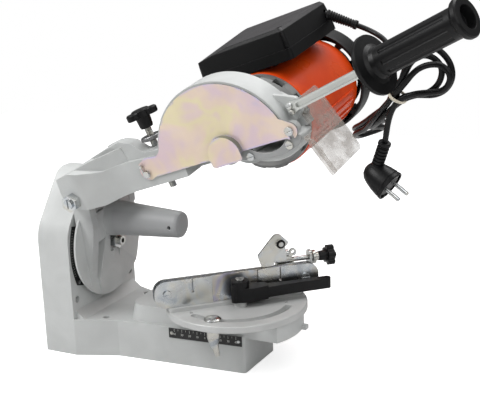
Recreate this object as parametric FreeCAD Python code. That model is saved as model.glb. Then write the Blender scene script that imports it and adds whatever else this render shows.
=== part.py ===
"""Electric saw-chain sharpener: base with column, tilting head, sprung motor arm and a turntable rail vise.

Millimetres, +Z up. X runs from the column to the turntable, +Y points away from the operator's side and
the origin is on the bench surface, in the middle of the base. Three sets of parts are modelled in frames
of their own and put in place at the end: the head (tilted about its disc), the arm (raised about its
hinge; its own frame has the spindle axis as origin) and the table (turned about its pivot).
"""
import FreeCAD, Part
import math
import os

V = FreeCAD.Vector

# --- driving dimensions -------------------------------------------------------------------------------
WHEEL_BORE_R = 8.0          # the machine takes 150 mm wheels with a 16 mm bore
COLUMN_BACK, COLUMN_FRONT = -155.0, -109.3
COLUMN_HALF, COLUMN_TOP = 71.5, 229.0
WALL = 7.0
FRONT_PLATE = 8.0
LEDGE_Z = 47.5
SEAT_Z = 67.15
NECK_X, NECK_HALF = -57.0, 52.0
NOSE_X, NOSE_HALF = 115.0, 39.5
TABLE_X = 85.0
TABLE_R, TABLE_TOP, TABLE_BOTTOM = 87.0, 75.3, 67.2
TABLE_TURN = 44.0
SLOT_R, SLOT_HALF = 66.8, 4.6
CLAMP_X, CLAMP_Y = 88.3, -66.4
DISC_Z, DISC_R = 135.0, 72.0
DISC_BACK, DISC_FACE = -100.5, -97.7
HEAD_TILT = 9.0
HINGE_X, HINGE_Z = -93.0, 215.0
CHEEK_IN, CHEEK_OUT = 39.0, 52.0
EAR_OUT = 62.0
ARM_RAISE = 19.0
HINGE_U, HINGE_V = -199.0, 12.0
ARM_HALF, ARM_LOW = 16.0, -9.0
GUARD_R, GUARD_WALL = 91.0, 5.0
GUARD_FRONT, GUARD_BACK = -16.0, 21.0
COVER_R, COVER_T = 88.5, 2.0
SPINDLE_V = 4.5             # the spindle runs this far above the middle of the guard
MOTOR_R = 60.5
SHIELD_W0, SHIELD_W1 = 45.0, 98.0
HOUSING_W1 = 248.0
REAR_R, REAR_W0, REAR_W1 = 69.0, 244.0, 278.0
RAIL_LEFT, RAIL_RIGHT = -102.5, 105.0
RAIL_LOW, RAIL_HIGH = 79.9, 113.5
STOP_U, STOP_W = -104.0, 7.5
BOX_LEFT, BOX_RIGHT, BOX_W0, BOX_W1 = -65.5, 66.0, 98.0, 233.0
BOX_LOW, BOX_SEAM, BOX_TOP = 65.6, 79.0, 105.0
HANDLE_START = V(90.0, -1.0, 28.3)
HANDLE_RISE, HANDLE_YAW = 9.4, -6.8
CORD_R = 3.4
FIT = 0.05                  # running clearance on the radius


# --- helpers ------------------------------------------------------------------------------------------
def block(x0, x1, y0, y1, z0, z1):
    """A box between two corners."""
    return Part.makeBox(x1 - x0, y1 - y0, z1 - z0, V(x0, y0, z0))


def rod(start, end, radius, end_radius=None):
    """A round bar, or a cone, from one point to another."""
    start, end = V(*start), V(*end)
    along = end - start
    if end_radius is None or abs(end_radius - radius) < 1e-6:
        return Part.makeCylinder(radius, along.Length, start, along)
    return Part.makeCone(radius, end_radius, along.Length, start, along)


def ring(start, end, outer, inner):
    """A round tube from one point to another."""
    return rod(start, end, outer).cut(rod(start, end, inner))


def rounded(points, radii):
    """A closed wire through the points, with each corner rounded by its radius or what its sides allow."""
    if not isinstance(radii, (list, tuple)):
        radii = [radii] * len(points)
    entries, edges = [], []
    for i, corner in enumerate(points):
        before = (points[i - 1] - corner).normalize()
        after = (points[(i + 1) % len(points)] - corner).normalize()
        if radii[i] < 1e-6:
            entries.append((corner, None, corner))
            continue
        room = 0.48 * min((points[i - 1] - corner).Length, (points[(i + 1) % len(points)] - corner).Length)
        half = before.getAngle(after) / 2
        cut_back = min(radii[i] / math.tan(half), room)
        radius = cut_back * math.tan(half)
        middle = (before + after).normalize()
        centre = corner + middle * (radius / math.sin(half))
        entries.append((corner + before * cut_back, centre - middle * radius, corner + after * cut_back))
    for i, (start, middle, end) in enumerate(entries):
        if middle is not None:
            edges.append(Part.Arc(start, middle, end).toShape())
        following = entries[(i + 1) % len(entries)][0]
        if (following - end).Length > 1e-6:
            edges.append(Part.LineSegment(end, following).toShape())
    return Part.Wire(edges)


def place(plane, a, b, offset):
    """The point (a, b) of a plane that stands at an offset along its normal."""
    return {"YZ": V(offset, a, b), "XZ": V(a, offset, b), "XY": V(a, b, offset)}[plane]


def slab(plane, points, radii, start, end):
    """A rounded outline in a plane, given thickness along the plane's normal."""
    wire = rounded([place(plane, a, b, start) for a, b in points], radii)
    return Part.Face(wire).extrude(place(plane, 0, 0, end - start))


def band(plane, centre, radii, angles, start, end):
    """A flat ring segment between two radii and two angles in degrees."""
    (a, b), (r0, r1) = centre, radii
    t0, t1 = (math.radians(t) for t in angles)

    def at(radius, t):
        return place(plane, a + radius * math.cos(t), b + radius * math.sin(t), start)

    mid = (t0 + t1) / 2
    edges = [Part.Arc(at(r1, t0), at(r1, mid), at(r1, t1)).toShape(),
             Part.LineSegment(at(r1, t1), at(r0, t1)).toShape(),
             Part.Arc(at(r0, t1), at(r0, mid), at(r0, t0)).toShape(),
             Part.LineSegment(at(r0, t0), at(r1, t0)).toShape()]
    return Part.Face(Part.Wire(edges)).extrude(place(plane, 0, 0, end - start))


def join(first, *others):
    """All the solids as one."""
    return first.multiFuse(list(others)).removeSplitter()


def hexagon(start, end, across_flats):
    """A hexagonal bar between two points."""
    start, end = V(*start), V(*end)
    along = end - start
    side = V(0, 0, 1) if abs(along.z) < 0.5 * along.Length else V(1, 0, 0)
    other = along.cross(side).normalize()
    side = other.cross(along).normalize()
    reach = across_flats / math.sqrt(3)
    corners = [start + side * (reach * math.cos(math.radians(60 * i)))
               + other * (reach * math.sin(math.radians(60 * i))) for i in range(6)]
    return Part.Face(Part.makePolygon(corners + corners[:1])).extrude(along)


def slotted_screw(tip, head_at, head_r, head_h, shank_r):
    """A cheese-head screw whose head starts at head_at and points away from the tip."""
    tip, head_at = V(*tip), V(*head_at)
    out = (head_at - tip).normalize()
    top = head_at + out * head_h
    body = join(rod(tip, head_at, shank_r), rod(head_at, top, head_r))
    across = out.cross(V(0, 0, 1) if abs(out.z) < 0.9 else V(1, 0, 0)).normalize()
    slot = Part.makeBox(2.4 * head_r, 1.2, head_h, V(-1.2 * head_r, -0.6, -head_h * 0.5))
    third = out.cross(across)
    turn = FreeCAD.Matrix(across.x, third.x, out.x, top.x, across.y, third.y, out.y, top.y,
                          across.z, third.z, out.z, top.z, 0, 0, 0, 1)
    return body.cut(slot.transformGeometry(turn))


def revolve(profile, start, along):
    """A solid of revolution from (distance along the axis, radius) pairs."""
    start, along = V(*start), V(*along).normalize()
    side = along.cross(V(0, 0, 1) if abs(along.z) < 0.9 else V(1, 0, 0)).normalize()
    points = [start + along * s + side * r for s, r in profile]
    return Part.Face(Part.makePolygon(points + points[:1])).revolve(start, along, 360)


def cord_tube(route, radius):
    """A tube along straight runs that tangent arcs join, with the tightest arc's radius printed."""
    points = [V(*p) for p in route]
    edges, last, tightest = [], points[0], None
    for before, corner, after in zip(points, points[1:], points[2:]):
        to_before, to_after = before - corner, after - corner
        turn = math.pi - to_before.getAngle(to_after)
        cut_back = 0.45 * min(to_before.Length, to_after.Length)
        bend = cut_back / math.tan(turn / 2)
        tightest = bend if tightest is None else min(tightest, bend)
        start = corner + to_before.normalize() * cut_back
        end = corner + to_after.normalize() * cut_back
        middle = (to_before + to_after).normalize()
        centre = corner + middle * math.hypot(bend, cut_back)
        edges += [Part.LineSegment(last, start).toShape(), Part.Arc(start, centre - middle * bend, end).toShape()]
        last = end
    edges.append(Part.LineSegment(last, points[-1]).toShape())
    path = Part.Wire(edges)
    disc = Part.Wire(Part.makeCircle(radius, points[0], points[1] - points[0]))
    tube = path.makePipeShell([disc], True, False)
    print("cord tube: length %.1f, tightest radius %.1f, volume ratio %.4f"
          % (path.Length, tightest or 0, tube.Volume / (math.pi * radius ** 2 * path.Length)))
    return tube


# --- frames -------------------------------------------------------------------------------------------
def on_head(shape):
    """Puts a head part, modelled upright, at the head's tilt."""
    placed = shape.copy()
    placed.rotate(V(0, 0, DISC_Z), V(1, 0, 0), HEAD_TILT)
    return placed


def on_arm(shape):
    """Puts an arm part, modelled level with its spindle axis at the origin, on the raised arm."""
    placed = shape.copy()
    placed.translate(V(-HINGE_U, 0, -HINGE_V))
    placed.rotate(V(0, 0, 0), V(0, 1, 0), -ARM_RAISE)
    placed.translate(V(HINGE_X, 0, HINGE_Z))
    return on_head(placed)


def on_spindle(shape):
    """Puts a motor part, modelled on the spindle's axis, on the raised arm."""
    placed = shape.copy()
    placed.translate(V(0, 0, SPINDLE_V))
    return on_arm(placed)


def on_table(shape):
    """Puts a table part, modelled with the rail along X, on the turned table."""
    placed = shape.copy()
    placed.rotate(V(0, 0, 0), V(0, 0, 1), TABLE_TURN)
    placed.translate(V(TABLE_X, 0, 0))
    return placed


# --- base ---------------------------------------------------------------------------------------------
def column():
    """The arched column: a front plate and side walls, open behind."""
    half, room = COLUMN_HALF, COLUMN_HALF - WALL
    outer = slab("YZ", [(-half, 0), (-half, 160), (-18, COLUMN_TOP), (18, COLUMN_TOP), (half, 160), (half, 0)],
                 [0, 45, 25, 25, 45, 0], COLUMN_BACK, COLUMN_FRONT)
    inner = slab("YZ", [(-room, -1), (-room, 157.4), (-14.7, 222), (14.7, 222), (room, 157.4), (room, -1)],
                 [0, 38, 18, 18, 38, 0], COLUMN_BACK - 1, COLUMN_FRONT - FRONT_PLATE)
    return outer.cut(inner)


def foot():
    """The low hollow body from the column to the nose, with the raised seat of the table."""
    front, half = COLUMN_FRONT, COLUMN_HALF
    outer = slab("XY", [(front - 6, -half), (front, -half), (NECK_X, -NECK_HALF), (NOSE_X, -NOSE_HALF),
                        (NOSE_X, NOSE_HALF), (NECK_X, NECK_HALF), (front, half), (front - 6, half)],
                 [0, 0, 6, 4, 4, 6, 0, 0], 0, LEDGE_Z)
    hollow = slab("XY", [(front, 8 - half), (NECK_X - 2, -45), (NOSE_X - WALL, -32.5),
                         (NOSE_X - WALL, 32.5), (NECK_X - 2, 45), (front, half - 8)],
                  [2, 8, 4, 4, 8, 2], -1, LEDGE_Z - WALL)
    low = [(-50, -44.5), (NOSE_X - 2, -33), (NOSE_X - 2, 33), (-50, 44.5)]
    high = [(-46, -41), (NOSE_X - 4, -30), (NOSE_X - 4, 30), (-46, 41)]
    sides = [rounded([V(a, b, z) for a, b in outline], [20, 3, 3, 20])
             for outline, z in ((low, LEDGE_Z - 1), (high, SEAT_Z))]
    plateau = Part.makeLoft(sides, True, True)
    seat = rod((TABLE_X, 0, 45), (TABLE_X, 0, SEAT_Z), 82).common(block(70, 170, -38, 38, 30, 80))
    seat_hollow = rod((TABLE_X, 0, 44), (TABLE_X, 0, 60), 75).common(block(NOSE_X + 1, 160, -31, 31, 30, 60))
    under = slab("XY", [(-42, -36), (100, -26), (100, 26), (-42, 36)], 10, LEDGE_Z - WALL - 1, 60)
    fairing = slab("XZ", [(front - 1, 47), (front + 13, 47.4), (front - 1, 58.5)], 0, 5.5 - half, half - 5.5)
    body = join(outer, plateau, seat, fairing).cut(Part.makeCompound([hollow, under, seat_hollow]))
    web = block(-3, 3, -46, 46, 0, LEDGE_Z - 1)
    stop_lug = block(158, 171.5, 13, 21, 45, 50)
    return join(body, web, stop_lug)


def base_casting():
    """Column and foot in one casting, with its bosses and holes."""
    solids = [column(), foot(), rod((-146, 0, DISC_Z), (COLUMN_FRONT - 1, 0, DISC_Z), 20),
              rod((TABLE_X, 0, 14), (TABLE_X, 0, SEAT_Z), 16),
              rod((CLAMP_X, CLAMP_Y, 62), (CLAMP_X, CLAMP_Y, 66.6), 9.5),
              block(CLAMP_X - 9.5, CLAMP_X + 9.5, CLAMP_Y, -32, 62, 66.6)]
    cuts = [rod((-150, 0, DISC_Z), (-100, 0, DISC_Z), 6 + FIT),
            rod((TABLE_X, 0, 10), (TABLE_X, 0, 70), 5 + FIT),
            rod((CLAMP_X, CLAMP_Y, 60), (CLAMP_X, CLAMP_Y, 70), 4 + FIT)]
    for side in (-1, 1):
        solids += [rod((COLUMN_BACK, side * 60.5, 71), (COLUMN_FRONT - 1, side * 60.5, 71), 10),
                   rod((-76, side * 48, 0), (-76, side * 48, LEDGE_Z - 1), 9.5)]
        cuts += [rod((-160, side * 60.5, 71), (-100, side * 60.5, 71), 4.5),
                 rod((-76, side * 48, -1), (-76, side * 48, 60), 4.25)]
    return join(*solids).cut(Part.makeCompound(cuts))


def tilt_scale():
    """The curved strip of the tilt angle, on the column beside the disc."""
    x0, x1 = COLUMN_FRONT, COLUMN_FRONT + 0.9
    strip = rod((x0, 30, DISC_Z - 5), (x1, 30, DISC_Z - 5), 98).cut(rod((x0, 0, DISC_Z), (x1, 0, DISC_Z), 56))
    return strip.common(slab("YZ", [(-80, 171), (-40, 162), (-36, 130), (-36, 82), (-80, 96)], 0, x0, x1))


WALL_TURN = math.degrees(math.atan2(NECK_HALF - NOSE_HALF, NOSE_X - NECK_X))


def on_front_wall(shape, x):
    """Puts a shape, modelled on the XZ plane, on the slanting front wall of the foot."""
    placed = shape.copy()
    placed.rotate(V(0, 0, 0), V(0, 0, 1), WALL_TURN)
    y = -NECK_HALF + (x - NECK_X) * math.tan(math.radians(WALL_TURN))
    placed.translate(V(x, y, 0))
    return placed


def table_scale():
    """The straight plate of the table angle."""
    return on_front_wall(block(0, 97, -1, 0, 34.4, 46.9), 15)


def scale_screws():
    """The small screws that hold the two scales."""
    heads = [on_front_wall(rod((x, -1, 40.6), (x, -2.2, 40.6), 2.3, 1.7), 15) for x in (4, 93)]
    for y, z in ((-53.5, 161.0), (-54.5, 92.0)):
        heads.append(rod((COLUMN_FRONT + 0.9, y, z), (COLUMN_FRONT + 1.4, y, z), 2.2, 1.8))
    return Part.makeCompound(heads)


def tilt_bolt():
    """The bolt through the column and the head disc, with a socket in its end."""
    bolt = join(hexagon((-154, 0, DISC_Z), (-146, 0, DISC_Z), 18), rod((-146, 0, DISC_Z), (-76, 0, DISC_Z), 6))
    return bolt.cut(hexagon((-81, 0, DISC_Z), (-75, 0, DISC_Z), 6))


def tilt_nut():
    """The hexagon nut that clamps the head."""
    return hexagon((-91.9, 0, DISC_Z), (-81.5, 0, DISC_Z), 19).cut(
        rod((-93, 0, DISC_Z), (-80, 0, DISC_Z), 6.02))


def table_pivot_bolt():
    """The pin that the table turns on, set into the table from below."""
    return rod((TABLE_X, 0, 4), (TABLE_X, 0, 73), 5)


def table_pivot_nut():
    """The nut under the seat."""
    return hexagon((TABLE_X, 0, 5.9), (TABLE_X, 0, 13.9), 17).cut(rod((TABLE_X, 0, 0), (TABLE_X, 0, 20), 5.02))


def table_clamp_bolt():
    """The domed bolt through the table's arc slot."""
    dome = revolve([(0, 0), (0, 10.5), (1.0, 10.3), (2.4, 8.4), (3.6, 5.2), (4.2, 0)],
                   (CLAMP_X, CLAMP_Y, TABLE_TOP + FIT), (0, 0, 1))
    return join(dome, rod((CLAMP_X, CLAMP_Y, 40), (CLAMP_X, CLAMP_Y, TABLE_TOP + 1), 4))


def table_clamp_nut():
    """The tapered clamping nut with its tail."""
    barrel = revolve([(0, 0), (0, 8), (8, 7.8), (18, 5.2), (20, 4.4), (20, 0)],
                     (CLAMP_X, CLAMP_Y, 61.8), (0, 0, -1))
    tail = rod((CLAMP_X + 1, CLAMP_Y, 46), (CLAMP_X + 4.5, CLAMP_Y, 30), 4.6, 2.8)
    return join(barrel, tail).cut(rod((CLAMP_X, CLAMP_Y, 39.9), (CLAMP_X, CLAMP_Y, 62), 4 + FIT))


# --- table --------------------------------------------------------------------------------------------
def turntable():
    """The round plate with its arc slot and the raised rib that carries the rails."""
    plate = rod((0, 0, TABLE_BOTTOM), (0, 0, TABLE_TOP), TABLE_R)
    plate = plate.makeFillet(1.6, [e for e in plate.Edges if e.BoundBox.ZMin > TABLE_TOP - 0.1
                                   and e.BoundBox.XLength > TABLE_R])
    rib = slab("XY", [(-87, -11), (84, -11), (84, 11), (-87, 11)], [5, 12, 12, 5], TABLE_TOP - 1, RAIL_LOW - 0.1)
    rib = rib.common(rod((0, 0, 60), (0, 0, 90), 86))
    seat = rod((0.5, -17, TABLE_TOP - 1), (0.5, -17, 82), 7.5)
    low, high = TABLE_BOTTOM - 1, TABLE_TOP + 1
    slot = band("XY", (0, 0), (SLOT_R - SLOT_HALF, SLOT_R + SLOT_HALF), (-154, -38), low, high)
    ends = [rod((SLOT_R * math.cos(t), SLOT_R * math.sin(t), low), (SLOT_R * math.cos(t), SLOT_R * math.sin(t), high),
                SLOT_HALF) for t in (math.radians(-154), math.radians(-38))]
    holes = [rod((r * math.cos(t), r * math.sin(t), low), (r * math.cos(t), r * math.sin(t), high), 2.2)
             for r, t in ((64.5, math.radians(-163)), (61, math.radians(-26)))]
    pivot = rod((0, 0, 60), (0, 0, 73), 5.02)
    lever_hole = rod((0.5, -17, 66), (0.5, -17, 90), 4.02)
    return join(plate, rib, seat).cut(Part.makeCompound([slot, *ends, *holes, pivot, lever_hole]))


def rail_outline(left, right, left_r, right_r):
    """The side outline of a rail plate."""
    return [(left, RAIL_LOW), (right, RAIL_LOW), (right, RAIL_HIGH), (left, RAIL_HIGH)], \
        [left_r, right_r, right_r, left_r]


def rail_rear():
    """The fixed rail."""
    points, radii = rail_outline(RAIL_LEFT, RAIL_RIGHT, 14, 14)
    plate = slab("XZ", points, radii, 0.9, 4.4)
    return plate.cut(Part.makeCompound([rod((s, 0, 97), (s, 6, 97), 3.2) for s in (-87, 88)]))


def rail_front():
    """The moving jaw, with the pressed plate that the cam bears on."""
    points, radii = rail_outline(RAIL_LEFT + 1, RAIL_RIGHT - 1, 14, 14)
    plate = slab("XZ", points, radii, -3.4, -0.9)
    pad = slab("XZ", [(-30.8, 80.1), (26.8, 80.1), (26.8, 113.2), (-30.8, 113.2)], 1.5, -4.5, -3.4)
    return join(plate, pad).cut(Part.makeCompound([rod((s, -6, 97), (s, 0, 97), 2.52) for s in (-87, 88)]))


def cheek(left, right, left_r, right_r, slit):
    """An outer plate of the jaw, with a spring slit cut from its top."""
    points, radii = rail_outline(left, right, left_r, right_r)
    plate = slab("XZ", points, radii, -6.4, -3.45)
    hole_s = -87 if left < 0 else 88
    cuts = [block(slit - 0.8, slit + 0.8, -8, 0, 97.5, 120), rod((slit, -8, 97.5), (slit, 0, 97.5), 1.7),
            rod((hole_s, -8, 97), (hole_s, 0, 97), 2.52)]
    return plate.cut(Part.makeCompound(cuts))


def rail_screws():
    """The slotted screws of the cheeks."""
    return Part.makeCompound([slotted_screw((s, 6.5, 97), (s, -6.42, 97), 5.2, 2.4, 2.5) for s in (-87, 88)])


def lever_bolt():
    """The upright bolt of the clamping lever."""
    return slotted_screw((0.5, -17, 68), (0.5, -17, 107.6), 5.5, 2.2, 4)


def clamp_lever():
    """The black cam lever: a lobed hub and a long tapered arm."""
    hub = rod((0.5, -17, 82.1), (0.5, -17, 107.5), 11)
    cam = rod((0.5, -7.6, 84), (0.5, -7.6, 100), 3)
    root = slab("XY", [(-10, -27), (14, -29.5), (34, -26), (34, -12), (14, -6.2), (0, -6.2)],
                [6, 8, 3, 3, 3, 2], 82.1, 99)
    arm = slab("XY", [(20, -27.5), (60, -24), (116, -23), (116, -13), (60, -13.5), (20, -8)],
               [2, 20, 4.5, 4.5, 20, 2], 84, 97)
    lobe = rod((-7, -22, 82.1), (-7, -22, 104), 5)
    top = rod((0.5, -17, 106), (0.5, -17, 112), 14).cut(rod((0.5, -17, 105), (0.5, -17, 113), 12))
    body = join(hub, cam, root, arm, lobe).cut(top)
    return body.cut(rod((0.5, -17, 80), (0.5, -17, 112), 4 + FIT))


FEED_Y, FEED_Z = 11.0, 115.5
PAWL_S, PAWL_Z = 58.0, 141.6


def stop_bracket():
    """The bent bracket behind the rear rail that guides the stop and holds its screw."""
    plate = slab("XZ", [(54, 84), (100, 84), (100, 105), (54, 105)], [3, 3, 0.5, 0.5], 4.45, 7)
    shelf = slab("XY", [(54, 4.45), (101, 4.45), (101, 18.5), (54, 18.5)], [0.5, 0.5, 4, 4], 103, 105.5)
    lug = slab("YZ", [(4.45, 103), (18.5, 103), (18.5, 125), (4.45, 125)], [0.5, 0.5, 6, 6], 98, 101)
    return join(plate, shelf, lug).cut(Part.makeCompound([rod((90, FEED_Y, FEED_Z), (105, FEED_Y, FEED_Z), 3 + FIT),
                                                          rod((88, 4, 97), (88, 8, 97), 3.4)]))


def stop_carriage():
    """The carriage that the feed screw moves along the rail, with its guide sleeve and eye."""
    block_ = slab("XZ", [(56, 105.6), (78, 105.6), (78, 118), (70, 121), (56, 121)], [1, 1, 3, 3, 1], 7.6, 16.5)
    lug = slab("XZ", [(50, 116), (68, 116), (66, 142), (PAWL_S, 149), (50, 142)], [2, 2, 7, 7, 7], 4.9, 8)
    sleeve = rod((53, 10.5, 124.6), (71.5, 10.5, 124.6), 4.6)
    eye = ring((77.5, 8.5, 125.5), (77.5, 11.5, 125.5), 4.6, 2.2)
    neck = block(71, 76, 8.6, 11.4, 117, 124)
    body = join(block_, lug, sleeve, neck, eye)
    cuts = [rod((40, FEED_Y, FEED_Z), (90, FEED_Y, FEED_Z), 3 + FIT),
            rod((PAWL_S, 0, PAWL_Z), (PAWL_S, 12, PAWL_Z), 3.02)]
    return body.cut(Part.makeCompound(cuts))


def pawl():
    """The chain stop: a bent plate whose foot comes down between the rails."""
    plate = slab("XZ", [(34, 114.2), (48.5, 114.2), (51, 127), (69.5, 141.7), (54, 157.6), (28.8, 129)],
                 [1.5, 1.5, 8, 3, 8, 3], -1.6, 1.6)
    sleeve = rod((PAWL_S, -2.6, PAWL_Z), (PAWL_S, 4.6, PAWL_Z), 5.5)
    return join(plate, sleeve).cut(rod((PAWL_S, -8, PAWL_Z), (PAWL_S, 12, PAWL_Z), 3 + FIT))


def pawl_pin():
    """The pin of the chain stop with the retaining ring in its groove."""
    y0, y1 = -4.2, -3.2
    pin = join(rod((PAWL_S, -5.2, PAWL_Z), (PAWL_S, 9, PAWL_Z), 3), rod((PAWL_S, 8.1, PAWL_Z), (PAWL_S, 10, PAWL_Z), 4.4))
    pin = pin.cut(ring((PAWL_S, y0, PAWL_Z), (PAWL_S, y1, PAWL_Z), 4, 2.4))
    clip = ring((PAWL_S, y0 + 0.05, PAWL_Z), (PAWL_S, y1 - 0.05, PAWL_Z), 5.4, 2.42)
    clip = clip.cut(block(PAWL_S - 1.2, PAWL_S + 1.2, -5, -3, PAWL_Z - 8, PAWL_Z))
    return Part.makeCompound([pin, clip])


def feed_screw():
    """The screw that moves the chain stop, with the collar fixed on it."""
    screw = rod((60, FEED_Y, FEED_Z), (130, FEED_Y, FEED_Z), 3)
    collar = join(rod((103, FEED_Y, FEED_Z), (106.5, FEED_Y, FEED_Z), 8.5),
                  rod((101.2, FEED_Y, FEED_Z), (111, FEED_Y, FEED_Z), 5))
    return Part.makeCompound([screw, collar.cut(rod((100, FEED_Y, FEED_Z), (115, FEED_Y, FEED_Z), 3.02))])


def feed_knob():
    """The black star knob with five lobes."""
    core = revolve([(0, 0), (0, 5.6), (3, 6.2), (8, 6.6), (12, 9.2), (18.5, 9.6), (21, 7.4), (21, 0)],
                   (111.1, FEED_Y, FEED_Z), (1, 0, 0))
    lobes = []
    for i in range(5):
        t = math.radians(72 * i + 20)
        y, z = FEED_Y + 8.8 * math.cos(t), FEED_Z + 8.8 * math.sin(t)
        lobes.append(join(rod((121.5, y, z), (130.2, y, z), 4.2), rod((130.2, y, z), (131.4, y, z), 4.2, 3)))
    return join(core, *lobes).cut(rod((110, FEED_Y, FEED_Z), (130.1, FEED_Y, FEED_Z), 3.02))


# --- head ---------------------------------------------------------------------------------------------
def head_casting():
    """The disc with its spine, pad and hinge cheeks, and the tapered handle."""
    disc = join(rod((DISC_BACK, 0, DISC_Z), (DISC_FACE, 0, DISC_Z), DISC_R),
                rod((-104.5, 0, DISC_Z), (DISC_BACK, 0, DISC_Z), 58),
                rod((COLUMN_FRONT + FIT, 0, DISC_Z), (-104, 0, DISC_Z), 30))
    near = slab("XZ", [(-98.5, 89), (-79, 172), (-81, 215), (HINGE_X, 227.5), (-104.4, 215), (-104.4, 150)],
                [0, 12, 9, 9, 9, 0], -CHEEK_OUT, -CHEEK_IN)
    far = slab("XZ", [(-98.5, 158), (-84, 168), (-81, 215), (HINGE_X, 227.5), (-104.4, 215), (-104.4, 158)],
               [0, 6, 9, 9, 9, 0], CHEEK_IN, CHEEK_OUT)
    web = slab("XZ", [(-104.4, 150), (-84, 150), (-84, 186), (-98, 199), (-104.4, 199)], [0, 0, 8, 3, 0],
               -CHEEK_IN - 1, CHEEK_IN + 1)
    pad = slab("YZ", [(-20, 186), (-21, 165), (-37, 98), (-34, 66), (70, 66), (70, 186)], [0, 10, 10, 0, 0, 0],
               DISC_FACE - 1, -82)
    rise = slab("XZ", [(-99, 60), (-98.2, 66), (-83.5, 150), (-83.5, 190), (-99, 190)], 0, -80, 80)
    fall = slab("XY", [(-99, -60), (-83, -60), (-83, -26), (-97.9, 64), (-99, 64)], 0, 60, 190)
    pad = pad.common(rise).common(fall).common(rod((-110, 0, DISC_Z), (-70, 0, DISC_Z), DISC_R - 0.1))
    cone = revolve([(0, 0), (0, 26), (15, 23.6), (23, 22.2), (35, 21.2), (112, 16.4), (115, 15.2), (116.6, 12.6),
                    (117, 9), (117, 0)], (-99, 0, 167), (1, 0, 0))
    body = join(disc, near, far, web, pad, cone)
    body = body.cut(slab("YZ", [(-17.5, 188), (-17.5, 186.2), (-38.9, 186.2), (-38.9, 188)], 0, -99, -80))
    pocket = slab("YZ", [(-13.5, 123), (-13.5, 147.5), (14.5, 147.5), (14.5, 123)], 5, -92, -80)
    tear = slab("YZ", [(-5, 126), (9, 126), (6, 97), (0, 97)], [2, 2, 2.5, 2.5], -91, -80)
    cuts = [pocket, tear, rod((-110, 0, DISC_Z), (-80, 0, DISC_Z), 6 + FIT),
            rod((7, -30, 169), (7, 30, 169), 2.5), rod((HINGE_X, -38.9, HINGE_Z), (HINGE_X, 38.9, HINGE_Z), 12),
            rod((HINGE_X, -70, HINGE_Z), (HINGE_X, 70, HINGE_Z), 6 + FIT)]
    return body.cut(Part.makeCompound(cuts))


def hinge_bolt():
    """The long bolt of the arm hinge, slotted at its end."""
    bolt = join(rod((HINGE_X, -75, HINGE_Z), (HINGE_X, EAR_OUT + 0.2, HINGE_Z), 6),
                hexagon((HINGE_X, EAR_OUT + 0.2, HINGE_Z), (HINGE_X, EAR_OUT + 8, HINGE_Z), 19))
    return bolt.cut(block(HINGE_X - 1, HINGE_X + 1, -76, -72.5, HINGE_Z - 8, HINGE_Z + 8))


def hinge_nut():
    """The nut of the arm hinge."""
    return hexagon((HINGE_X, -EAR_OUT - 10.2, HINGE_Z), (HINGE_X, -EAR_OUT - 0.2, HINGE_Z), 19).cut(
        rod((HINGE_X, -80, HINGE_Z), (HINGE_X, -60, HINGE_Z), 6.02))


def return_spring():
    """The coils of the spring that lifts the arm, wound round the hinge bolt."""
    turns, start, pitch = 10, -36.0, 3.4
    profile = [(0, 8.2)]
    for i in range(turns):
        profile += [(i * pitch + 0.4, 11.2), (i * pitch + pitch - 0.8, 11.2), ((i + 1) * pitch, 9.4)]
    profile.append((turns * pitch, 8.2))
    return revolve(profile, (HINGE_X, start, HINGE_Z), (0, 1, 0))


# --- arm ----------------------------------------------------------------------------------------------
def arm_beam():
    """The beam from the wide hinge end to the guard, ribbed on top."""
    side = slab("XZ", [(-213, 24), (-211, 43), (-190, 45.5), (-165, 30), (-70, 24), (-60, 22), (-60, ARM_LOW),
                       (-172, ARM_LOW), (-192, -2), (-210, 5)], [3, 3, 6, 10, 0, 0, 0, 10, 8, 8], -70, 70)
    plan = slab("XY", [(-216, -EAR_OUT), (-186, -EAR_OUT), (-152, -ARM_HALF), (-40, -ARM_HALF),
                       (-40, ARM_HALF), (-152, ARM_HALF), (-186, EAR_OUT), (-216, EAR_OUT)],
                [3, 14, 30, 0, 0, 30, 14, 3], -30, 70)
    ridge = slab("XZ", [(-195, 20), (-195, 45), (-142, 54), (-126, 48), (-112, 33), (-60, 28), (-60, 15)],
                 [0, 3, 8, 8, 10, 0, 0], -9, 9)
    ribs = []
    for s in (-1, 1):
        ribs.append(slab("XY", [(-205, s * 61), (-205, s * 54), (-142, s * 2), (-138, s * 8)], 0, 22, 47))
    shoulder = slab("XZ", [(-205, 20), (-205, 43), (-142, 52), (-138, 20)], 0, -62, 62)
    beam = join(side.common(plan), ridge, *[r.common(shoulder) for r in ribs])
    scoops = []
    for s in (-1, 1):
        outline = [(-184, s * 12), (-184, s * 38), (-160, s * 18), (-156, s * 12)]
        scoops.append(slab("XY", outline, 2, 26, 60))
    clear = block(-230, -180, -CHEEK_OUT - 0.6, CHEEK_OUT + 0.6, -30, 30)
    notch = block(-230, -196, -EAR_OUT + 9.4, EAR_OUT - 9.4, 25, 60)
    under = slab("XY", [(-176, -30), (-150, -10), (-110, -10), (-110, 10), (-150, 10), (-176, 30)], 3, -20, 20)
    stop_column = rod((STOP_U, STOP_W, ARM_LOW), (STOP_U, STOP_W, 34), 9)
    beam = beam.cut(Part.makeCompound([*scoops, clear, notch, under]))
    return join(beam, stop_column)


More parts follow.
